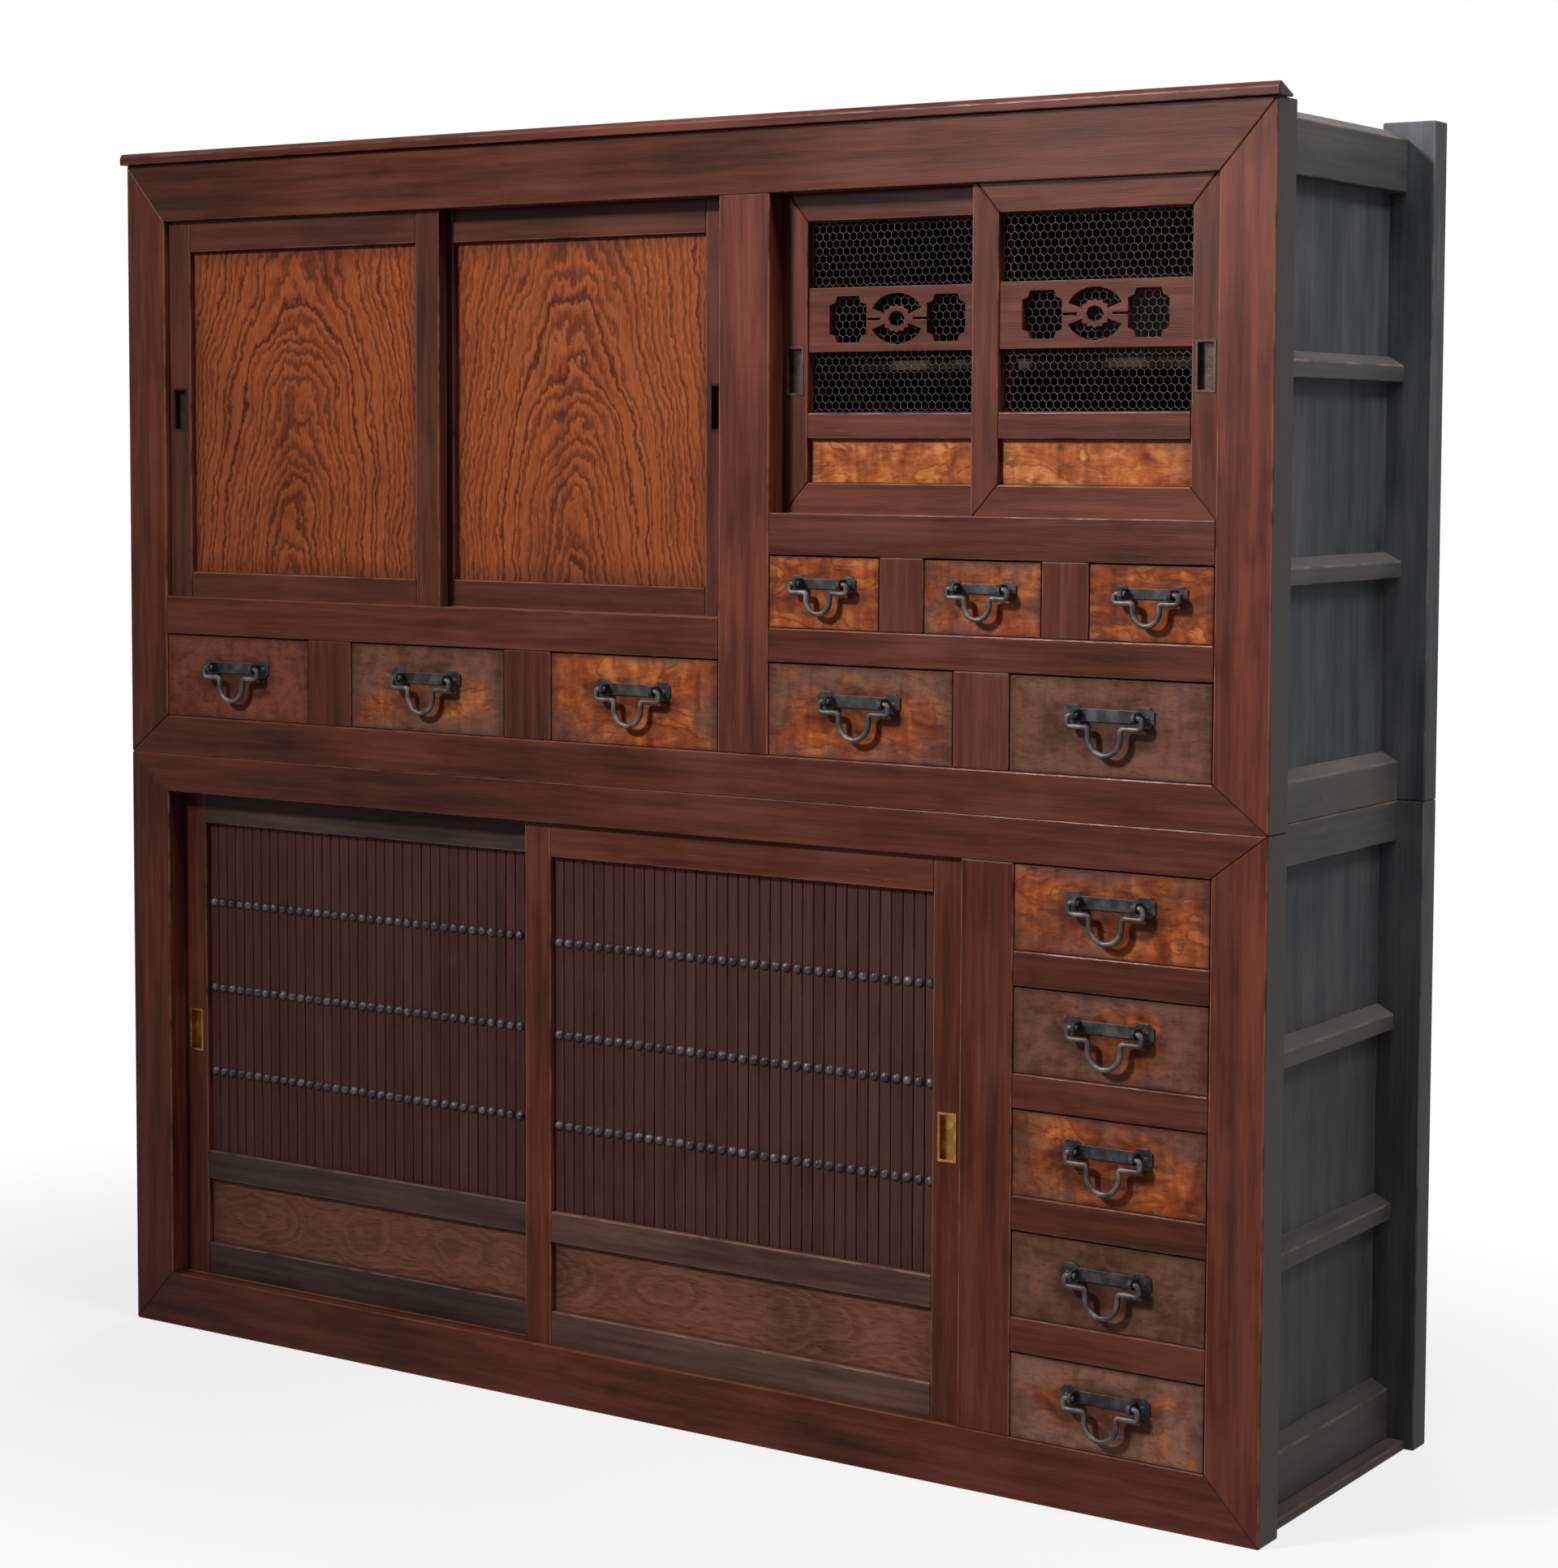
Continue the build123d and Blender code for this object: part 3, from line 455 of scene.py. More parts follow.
@dataclass(frozen=True)
class Burl(Finish):
    """Lacquered figured fronts, warm in the middle and smoked towards the rims, with grime and painted shade
    at the rims and round the handle.
    """

    smoke: float
    # How dark the grime and painted shade round the handle are.
    grime_and_shade: float = 0.55
    roughness: float = 0.34
    # Dark pore filling, also used for grime and painted shade at the rims and round the handle.
    ink_and_shade: Colour = paint(48, 30, 24)
    haze: Colour = paint(116, 86, 75)
    dark: Colour = paint(104, 48, 28)
    middle: Colour = paint(170, 86, 45)
    light: Colour = paint(222, 134, 74)
    haze_tint: Colour = (0.5, 0.44, 0.4)
    vein_share: float = 0.6
    haze_share: float = 0.75
    veil_share: float = 0.85
    pore_share: float = 0.45
    rim_grime_and_shade_share: float = 0.4
    edge_share: float = 0.4

    def draw(self, shader: Shader) -> None:
        """Draw the finish's nodes.

        Args:
            shader: The empty tree.
        """
        grain, seed = shader.vector(GRAIN), shader.number(SEED)
        along, across, _ = shader.axes(grain)
        swirl = shader.noise(grain, scale=(8, 15, 15), detail=4, turn=seed * 53, swirl=1.4)
        curl = shader.noise(grain, scale=(30, 64, 64), detail=5, turn=seed * 29, swirl=0.9)
        flame = shader.noise(grain, scale=(60, 18, 18), detail=4, turn=seed * 83, swirl=0.6)
        pore = shader.noise(grain, scale=(120, 760, 760), detail=2, turn=seed * 19)
        cloud = shader.noise(grain, scale=(12, 15, 15), detail=4, turn=seed * 5, swirl=0.5)
        vein = (swirl * 4 + curl * 0.6).fraction() - 0.5
        tone = swirl * 0.4 + flame * 0.4 + curl * 0.5 - 0.15
        colour = shader.ramp(tone, (0.34, self.dark), (0.5, self.middle), (0.66, self.light))
        colour = shader.mix(vein.size().fade(0.12, 0.0) * self.vein_share, colour, self.dark)
        border = shader.border()
        veil = border * 0.5 + (cloud - 0.5) * 2.2 + (self.smoke - 0.55)
        hazy = shader.shade(tone.fade(0.57, 0.36) * self.haze_share, self.haze, self.haze_tint)
        colour = shader.mix(veil.fade(-0.1, 0.55) * self.veil_share, colour, hazy)
        colour = shader.mix(pore.fade(0.52, 0.72) * self.pore_share, colour, self.ink_and_shade)
        # Grime and painted shade darken the wood round the handle.
        reach = (along * along * 160 + across * across * 900).root() + (curl - 0.5) * 0.8
        colour = shader.mix(reach.fade(1.2, 0.6) * self.grime_and_shade, colour, self.ink_and_shade)
        # Rims and eased edges darkened as grime and painted shade in the gaps round the front.
        rim = border.fade(0.86, 1.0) * self.rim_grime_and_shade_share + shader.number(EDGE) * self.edge_share
        colour = shader.mix(rim, colour, self.ink_and_shade)
        shader.surface({
            "Base Color": colour, "Roughness": self.roughness + cloud * 0.2,
            "Specular IOR Level": LACQUER_SPECULAR,
            "Normal": shader.relief(curl * 0.6 - pore * 0.4, depth=0.0005, strength=0.4),
        })


@dataclass(frozen=True)
class Softwood(Finish):
    """Plain wood with raised straight grain, bare or blackened."""

    dark: Colour
    middle: Colour
    light: Colour
    rub: Colour
    stripes: float = 130.0
    roughness: float = 0.66
    spread: float = 0.35
    specular: float = 0.2
    figure: float = 0.3
    # How much darker the wood gets towards the floor, as painted shade.
    foot: float = 0.0
    foot_shade_tint: Colour = (0.5, 0.44, 0.41)
    edge_share: float = 0.6
    scuff_share: float = 0.25

    def draw(self, shader: Shader) -> None:
        """Draw the finish's nodes.

        Args:
            shader: The empty tree.
        """
        grain, seed = shader.vector(GRAIN), shader.number(SEED)
        stripe = shader.noise(grain, scale=(3, self.stripes, self.stripes), detail=4, turn=seed * 37) - 0.5
        fibre = shader.noise(grain, scale=(50, 1000, 1000), detail=2, turn=seed * 43) - 0.5
        cloud = shader.noise(grain, scale=(5, 7, 7), detail=4, turn=seed * 71) - 0.5
        mottle = shader.noise(grain, scale=(5, 28, 28), detail=4, turn=seed * 59) - 0.5
        tone = stripe * self.figure + fibre * 0.15 + mottle * 0.5 + cloud * 0.5
        tone = tone + (seed - 0.5) * self.spread + 0.5
        colour = shader.ramp(tone, (0.3, self.dark), (0.5, self.middle), (0.76, self.light))
        scuff = shader.noise(grain, scale=(20, 34, 34), detail=4, turn=seed * 9)
        wear = shader.number(EDGE) * self.edge_share * scuff.fade(0.4, 0.6)
        wear = wear + scuff.fade(0.62, 0.78) * self.scuff_share
        colour = shader.mix(wear, colour, self.rub)
        # Painted shade: darker towards the floor.
        height = shader.axes(shader.place())[2]
        colour = shader.shade(height.fade(1.1, 0.1) * self.foot, colour, self.foot_shade_tint)
        shader.surface({
            "Base Color": colour, "Roughness": self.roughness + cloud * 0.2,
            "Specular IOR Level": self.specular,
            "Normal": shader.relief(stripe + fibre * 0.5, depth=0.0008, strength=self.figure * 1.6),
        })


@dataclass(frozen=True)
class Metal(Finish):
    """Forged or cast metal with a skin of age."""

    skin: Colour
    bare: Colour
    metallic: float
    roughness: float
    specular: float = 0.5
    lumps: float = 260.0
    stains: float = 70.0
    stain_share: float = 0.5
    rub_share: float = 0.45

    def draw(self, shader: Shader) -> None:
        """Draw the finish's nodes.

        Args:
            shader: The empty tree.
        """
        place, seed = shader.place(), shader.number(SEED)
        lump = shader.noise(place, scale=(self.lumps,) * 3, detail=3, turn=seed * 15)
        stain = shader.noise(place, scale=(self.stains,) * 3, detail=4, turn=seed * 27)
        rub = shader.number(EDGE) * lump.fade(0.35, 0.6)
        worn = stain.fade(0.4, 0.7) * self.stain_share + rub * self.rub_share
        colour = shader.mix(worn, self.skin, self.bare)
        shader.surface({
            "Base Color": colour, "Metallic": self.metallic,
            "Roughness": self.roughness + stain * 0.24 - 0.12, "Specular IOR Level": self.specular,
            "Normal": shader.relief(lump + stain, depth=0.0006, strength=0.5),
        })


FRAME_LACQUER = Lacquer(
    "frame_lacquer", paint(76, 39, 30), paint(105, 56, 43), paint(130, 72, 55), paint(172, 116, 92))
RAIL_LACQUER = Lacquer(
    "rail_lacquer", paint(70, 38, 30), paint(97, 53, 42), paint(120, 68, 55), paint(142, 92, 75))
DOOR_LACQUER = Lacquer(
    "door_lacquer", paint(76, 40, 32), paint(104, 57, 45), paint(128, 72, 57), paint(170, 116, 92),
    roughness=0.33)
PANEL_FRAME = Lacquer(
    "panel_door_frame", paint(64, 36, 30), paint(89, 51, 42), paint(110, 64, 53), paint(160, 110, 90),
    roughness=0.33)
# The left slatted door runs behind the right one: its rails are a darker, greyer copy, partly their own tone
# and partly painted shade.
SLAT_RAILS = {
    "slat_door_left": Lacquer(
        "slat_rail_left_shaded", paint(60, 46, 42), paint(82, 63, 58), paint(104, 80, 74), paint(156, 122, 106),
        roughness=0.38),
    "slat_door_right": Lacquer(
        "slat_rail_right", paint(82, 56, 49), paint(110, 78, 69), paint(134, 96, 85), paint(172, 130, 112),
        roughness=0.38),
}
# The left door's top rail, under the head rail, takes the shaded left finish as painted shade; the right one
# is lacquered like the door.
SLAT_TOP_RAILS = {"slat_door_left": SLAT_RAILS["slat_door_left"], "slat_door_right": DOOR_LACQUER}
KEYAKI = FlatSawn("keyaki", paint(66, 34, 23), paint(116, 57, 34), paint(170, 88, 50), paint(194, 106, 62))
BASE_PANEL = FlatSawn(
    "base_panel", paint(72, 46, 41), paint(104, 67, 58), paint(120, 80, 70), paint(170, 112, 90),
    rings=150.0, depth=0.05, lean=0.03, swell=0.11, wander=0.05, contrast=0.45, curl=0.006, jag=0.004,
    core=0.3)
AMBER = Burl(
    "burl_base_panel", smoke=0.0, grime_and_shade=0.0, middle=paint(192, 104, 56), light=paint(236, 160, 92))
DRAWER_SMOKE = {
    "left_drawer_1": 1.0, "left_drawer_2": 0.65, "left_drawer_3": 0.12,
    "right_drawer_1": 0.5, "right_drawer_2": 1.2,
    "small_drawer_1": -0.5, "small_drawer_2": 0.3, "small_drawer_3": 0.1,
    "column_drawer_1": 0.3, "column_drawer_2": 0.65, "column_drawer_3": 0.4, "column_drawer_4": 0.9,
    "column_drawer_5": 0.6,
}
DRAWER_HAZE = {"left_drawer_1": paint(132, 77, 65), "column_drawer_5": paint(150, 114, 100)}
SIDE_WOOD = Softwood(
    "side_wood", paint(52, 53, 55), paint(92, 94, 98), paint(132, 132, 134), paint(150, 140, 133),
    stripes=210.0, roughness=0.66, spread=0.12, figure=0.22, foot=0.7)
SIDE_RAIL = Softwood(
    "side_rail", paint(66, 64, 64), paint(94, 92, 92), paint(120, 114, 110), paint(158, 138, 125),
    stripes=90.0, roughness=0.62, spread=0.2, foot=0.5)
SILL_WOOD = Softwood(
    "sill_wood", paint(56, 50, 48), paint(78, 70, 68), paint(100, 90, 86), paint(140, 122, 112),
    stripes=90.0, roughness=0.68, spread=0.2, foot=0.4)
BACK_WOOD = Softwood(
    "back_wood", paint(72, 54, 40), paint(104, 79, 58), paint(132, 104, 79), paint(124, 98, 74))
# Aged inner boards, painted darker than the drawer boxes as shade inside the case.
SHADED_INNER_WOOD = Softwood(
    "inner_wood", paint(40, 29, 22), paint(60, 45, 34), paint(84, 64, 48), paint(78, 60, 46))
DRAWER_WOOD = Softwood(
    "drawer_wood", paint(92, 66, 44), paint(126, 94, 64), paint(152, 118, 84), paint(140, 108, 76))
SLAT_WOOD = Softwood(
    "slat_wood", paint(66, 38, 33), paint(82, 50, 44), paint(98, 62, 54), paint(114, 78, 68),
    stripes=220.0, roughness=0.56, spread=0.12, specular=0.1)
IRON = Metal("iron", paint(32, 31, 33), paint(88, 89, 94), metallic=0.5, roughness=0.48, specular=0.35)
PULL_IRON = Metal(
    "pull_iron", paint(54, 38, 32), paint(84, 64, 55), metallic=0.0, roughness=0.6, specular=0.06)
WORN_IRON = Metal("worn_iron", paint(58, 55, 54), paint(132, 125, 118), metallic=0.6, roughness=0.44)
STUD = Metal("stud", paint(44, 41, 40), paint(126, 123, 120), metallic=0.6, roughness=0.38)
DARK_BRONZE = Metal(
    "dark_bronze", paint(60, 47, 41), paint(106, 86, 72), metallic=0.3, roughness=0.44, specular=0.15)
BRASS = Metal("brass", paint(126, 88, 40), paint(196, 152, 80), metallic=0.9, roughness=0.36)
WIRE = Metal("wire", paint(70, 66, 62), paint(118, 112, 104), metallic=0.4, roughness=0.5)


class Paints:
    """The materials made so far, one for each finish."""

    def __init__(self) -> None:
        """Start with none."""
        self.made: dict[Finish, bpy.types.Material] = {}

    def of(self, finish: Finish) -> bpy.types.Material:
        """Give a finish's material, and make it once.

        Args:
            finish: The finish.

        Returns:
            Its material.
        """
        if finish not in self.made:
            self.made[finish] = finish.material()
        return self.made[finish]


@dataclass
class Board:
    """One closed solid in a copied node, with the corners of its box in metres."""

    faces: list[bmesh.types.BMFace]
    low: Vector
    high: Vector

    @property
    def size(self) -> Vector:
        """The box's three sizes."""
        return self.high - self.low

    @property
    def centre(self) -> Vector:
        """The box's middle."""
        return (self.low + self.high) / 2


Choice = Callable[[Board], bool]


def distinct(items: Iterable[Any]) -> list[Any]:
    """List each item once, in the order they come in, so that every run makes the same mesh."""
    return list(dict.fromkeys(items))


def box_of(points: Sequence[Vector]) -> tuple[Vector, Vector]:
    """Find the box around some points.

    Args:
        points: The points.

    Returns:
        The box's low and high corner.
    """
    low = Vector([min(point[axis] for point in points) for axis in range(3)])
    high = Vector([max(point[axis] for point in points) for axis in range(3)])
    return low, high


def closed_runs(faces: Iterable[bmesh.types.BMFace]) -> list[Board]:
    """Part loose triangles into the closed solids that follow each other in the list.

    Args:
        faces: The triangles, solid after solid.

    Returns:
        One board for each solid.
    """
    boards: list[Board] = []
    run: list[bmesh.types.BMFace] = []
    unmatched: set[tuple] = set()
    for face in faces:
        run.append(face)
        corners = [tuple(round(c, CORNER_DECIMALS) for c in vert.co) for vert in face.verts]
        for start, end in zip(corners, corners[1:] + corners[:1]):
            if (end, start) in unmatched:
                unmatched.remove((end, start))
            else:
                unmatched.add((start, end))
        if not unmatched:
            boards.append(Board(run, *box_of([vert.co for made in run for vert in made.verts])))
            run = []
    return boards


@dataclass
class Dresser:
    """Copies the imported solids, eases their edges, and gives each piece its finish."""

    frame: dict[str, Any]
    along_share: float = 0.95
    paints: Paints = field(default_factory=Paints)
    chance: random.Random = field(default_factory=lambda: random.Random(FIRST_SEED))

    def body_of(self, node: str) -> str:
        """Name the body that carries a node."""
        return self.frame["nodes"][node]["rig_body"]

    def boards(self, node: str) -> list[Board]:
        """List a node's solids by their boxes.

        Args:
            node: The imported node.

        Returns:
            A board without faces for each solid.
        """
        mesh = bmesh.new()
        mesh.from_mesh(self.frame["nodes"][node].data)
        found = closed_runs(list(mesh.faces))
        mesh.free()
        return [Board([], board.low, board.high) for board in found]

    def copy(
        self, node: str, finish: Finish, slot: Slot, ease: float, name: str = "",
        pick: Choice = lambda board: True, square: Choice = lambda board: False,
    ) -> bpy.types.Object:
        """Copy the picked solids of a node, ease their edges and dress them.

        Args:
            node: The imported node.
            finish: The finish of the piece.
            slot: The record's material slot.
            ease: How far each outer edge is rounded, in metres.
            name: The piece's name, or nothing for the node's own with a suffix.
            pick: Tells which solids belong to this piece.
            square: Tells which of them become plain blocks.

        Returns:
            The finished object.
        """
        mesh = bmesh.new()
        mesh.from_mesh(self.frame["nodes"][node].data)
        boards = closed_runs(list(mesh.faces))
        picked = [board for board in boards if pick(board)]
        spare = [face for board in boards if not pick(board) for face in board.faces]
        bmesh.ops.delete(mesh, geom=spare, context="FACES")
        grain = mesh.verts.layers.float_vector.new(GRAIN)
        span = mesh.verts.layers.float_vector.new(SPAN)
        seed = mesh.verts.layers.float.new(SEED)
        edge = mesh.loops.layers.float.new(EDGE)
        for board in picked:
            self.ease_board(mesh, self.squared(mesh, board) if square(board) else board, ease, edge)
        for board, verts in zip(picked, self.islands(mesh, picked)):
            order = sorted(range(3), key=lambda axis: -board.size[axis])
            mark = self.chance.random()
            for vert in verts:
                place = vert.co - board.centre
                vert[grain] = Vector([place[axis] for axis in order])
                vert[span] = Vector([place[axis] * 2 / board.size[axis] for axis in order])
                vert[seed] = mark
        return self.publish(mesh, name or f"{node}_dressed", self.body_of(node), [node], slot, finish)

    def squared(self, mesh: bmesh.types.BMesh, board: Board) -> Board:
        """Replace a bevelled solid by the plain block that fills its box.

        Args:
            mesh: The copied node.
            board: The solid.

        Returns:
            The block.
        """
        bmesh.ops.delete(mesh, geom=board.faces, context="FACES")
        verts = bmesh.ops.create_cube(mesh, size=1.0)["verts"]
        bmesh.ops.scale(mesh, verts=verts, vec=board.size)
        bmesh.ops.translate(mesh, verts=verts, vec=board.centre)
        return Board(distinct(face for vert in verts for face in vert.link_faces), board.low, board.high)

    def ease_board(self, mesh: bmesh.types.BMesh, board: Board, ease: float, edge: Any) -> None:
        """Merge one solid's triangles into faces and round its outer edges.

        Args:
            mesh: The copied node.
            board: The solid.
            ease: How far its edges are rounded, in metres.
            edge: The layer that marks the rounded faces.
        """
        verts = distinct(vert for face in board.faces for vert in face.verts)
        bmesh.ops.remove_doubles(mesh, verts=verts, dist=WELD)
        faces = [face for face in board.faces if face.is_valid]
        verts = distinct(vert for face in faces for vert in face.verts)
        edges = distinct(side for face in faces for side in face.edges)
        bmesh.ops.dissolve_limit(mesh, angle_limit=FLAT_ANGLE, verts=verts, edges=edges)
        edges = distinct(side for vert in verts if vert.is_valid for side in vert.link_edges)
        sharp = [
            side for side in edges
            if side.is_manifold and side.is_convex and side.calc_face_angle() > SHARP_ANGLE
        ]
        made = bmesh.ops.bevel(
            mesh, geom=sharp, offset=ease, offset_type="OFFSET", segments=2, profile=0.5, affect="EDGES",
            material=-1, clamp_overlap=True)
        longest = max(range(3), key=lambda axis: board.size[axis])
        for face in made["faces"]:
            side = max(face.edges, key=lambda side: side.calc_length())
            way = (side.verts[1].co - side.verts[0].co).normalized()
            for loop in face.loops:
                loop[edge] = float(abs(way[longest]) > self.along_share)

    def islands(self, mesh: bmesh.types.BMesh, boards: Sequence[Board]) -> list[list[bmesh.types.BMVert]]:
        """Sort a mesh's vertices into the boards that they belong to.

        Args:
            mesh: The eased boards.
            boards: The boxes to sort by.

        Returns:
            The vertices of each board.
        """
        unseen = set(mesh.verts)
        groups: list[list[bmesh.types.BMVert]] = [[] for _ in boards]
        while unseen:
            group, waiting = [], [unseen.pop()]
            while waiting:
                vert = waiting.pop()
                group.append(vert)
                for side in vert.link_edges:
                    other = side.other_vert(vert)
                    if other in unseen:
                        unseen.remove(other)
                        waiting.append(other)
            low, high = box_of([vert.co for vert in group])
            gaps = [(board.low - low).length + (board.high - high).length for board in boards]
            groups[gaps.index(min(gaps))] += group
        return groups

    def publish(
        self, mesh: bmesh.types.BMesh, name: str, body: str, nodes: Sequence[str], slot: Slot,
        finish: Finish, smooth: bool = False,
    ) -> bpy.types.Object:
        """Turn a mesh into an object that rides on a body.

        Args:
            mesh: The finished mesh, which is freed.
            name: The object's name.
            body: The body that it rides on.
            nodes: The nodes that it stands for.
            slot: The record's material slot; not used.
            finish: Its finish.
            smooth: Whether its faces are shaded as one curve.

        Returns:
            The object.
        """
        bmesh.ops.dissolve_degenerate(mesh, dist=WELD, edges=mesh.edges)
        for face in mesh.faces:
            face.smooth = smooth
        data = bpy.data.meshes.new(name)
        mesh.to_mesh(data)
        mesh.free()
        data.materials.append(self.paints.of(finish))
        made = bpy.data.objects.new(name, data)
        bpy.context.scene.collection.objects.link(made)
        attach(made, body)
        if nodes:
            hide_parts(*nodes)
        LOG.info("%s on %s, %d faces", name, body, len(data.polygons))
        return made


def mark_seed(mesh: bmesh.types.BMesh, value: float) -> None:
    """Give every vertex of a mesh the same seed.

    Args:
        mesh: The mesh.
        value: The seed, from 0 to 1.
    """
    seed = mesh.verts.layers.float.get(SEED) or mesh.verts.layers.float.new(SEED)
    for vert in mesh.verts:
        vert[seed] = value


def add_dome(
    mesh: bmesh.types.BMesh, place: Vector, radius: float, rise: float, sides: int = 10, bands: int = 6,
) -> None:
    """Add the domed head of a nail that faces the front, closed at its foot.

    Args:
        mesh: The mesh to add to.
        place: The middle of its foot.
        radius: Its radius in metres.
        rise: How far it stands out, in metres.
        sides: How many sides it has.
        bands: How many bands the whole ball would have, of which the dome keeps half.
    """
    verts = bmesh.ops.create_uvsphere(mesh, u_segments=sides, v_segments=bands, radius=1.0)["verts"]
    bmesh.ops.rotate(mesh, verts=verts, matrix=FACE_FRONT)
    ball = distinct(geom for vert in verts for geom in (vert, *vert.link_edges, *vert.link_faces))
    cut = bmesh.ops.bisect_plane(
        mesh, geom=ball, dist=LOOSE_WELD, plane_co=(0, 0, 0), plane_no=(0, 1, 0), clear_outer=True)
    kept = [geom for geom in cut["geom"] if isinstance(geom, bmesh.types.BMVert) and geom.is_valid]
    rim = [side for side in distinct(e for v in kept for e in v.link_edges) if side.is_boundary]
    for side in rim:
        side.smooth = False
    bmesh.ops.edgeloop_fill(mesh, edges=rim)
    bmesh.ops.recalc_face_normals(mesh, faces=distinct(face for vert in kept for face in vert.link_faces))
    bmesh.ops.scale(mesh, verts=kept, vec=(radius, rise, radius))
    bmesh.ops.translate(mesh, verts=kept, vec=place)


@dataclass
class Case:
    """The fixed cases: front frames, sides, backs and inner boards."""

    dresser: Dresser
    ease: float = 0.002
    inner_ease: float = 0.001
    soot_from: float = 0.8795
    short: float = 0.25
    front: tuple[str, ...] = (
        "upper_front_frame", "upper_front_dividers", "cornice", "lower_front_frame", "lower_front_dividers")
    sides: tuple[str, ...] = ("upper_side_frames", "lower_side_frames")
    inner: tuple[str, ...] = ("upper_decks", "lower_decks", "partitions", "guides_and_cleats")

    def build(self) -> None:
        """Dress every fixed board."""
        for node in self.front:
            self.split(node, FRAME_LACQUER, RAIL_LACQUER, Slot.FRAME)
        for node in self.sides:
            self.split(node, SIDE_WOOD, SIDE_RAIL, Slot.SIDE)
        self.dresser.copy("side_panels", SIDE_WOOD, Slot.SIDE, self.ease)
        self.dresser.copy("base_sills", SILL_WOOD, Slot.SIDE, self.ease)
        self.dresser.copy("back_boards", BACK_WOOD, Slot.INNER, self.inner_ease)
        for node in self.inner:
            self.dresser.copy(node, SHADED_INNER_WOOD, Slot.INNER, self.inner_ease)

    def stands(self, board: Board) -> bool:
        """Tell an upright board from a level one."""
        return board.size.z > max(board.size.x, board.size.y, self.short)

    def split(self, node: str, post: Finish, rail: Finish, slot: Slot) -> None:
        """Dress a frame's upright and level boards apart.

        Args:
            node: The frame's node.
            post: The finish of the upright boards.
            rail: The finish of the level boards.
            slot: The record's material slot.
        """
        boards = self.dresser.boards(node)
        top = max(board.high.z for board in boards)
        found = {self.stands(board) for board in boards}
        for name, finish, upright in (("posts", post, True), ("rails", rail, False)):
            if upright in found:
                made = self.dresser.copy(
                    node, finish, slot, self.ease, f"{node}_{name}",
                    lambda board, upright=upright: self.stands(board) == upright,
                    lambda board: node in self.sides and board.high.z > top - self.ease)
                self.blacken(made)

    def blacken(self, made: bpy.types.Object) -> None:
        """Mark the faces on the chest's outer sides, which smoke has blackened.

        Args:
            made: The dressed frame.
        """
        mark = made.data.attributes.new(SOOT, "FLOAT", "CORNER")
        for face in made.data.polygons:
            for loop in face.loop_indices:
                mark.data[loop].value = float(abs(face.center.x) > self.soot_from)


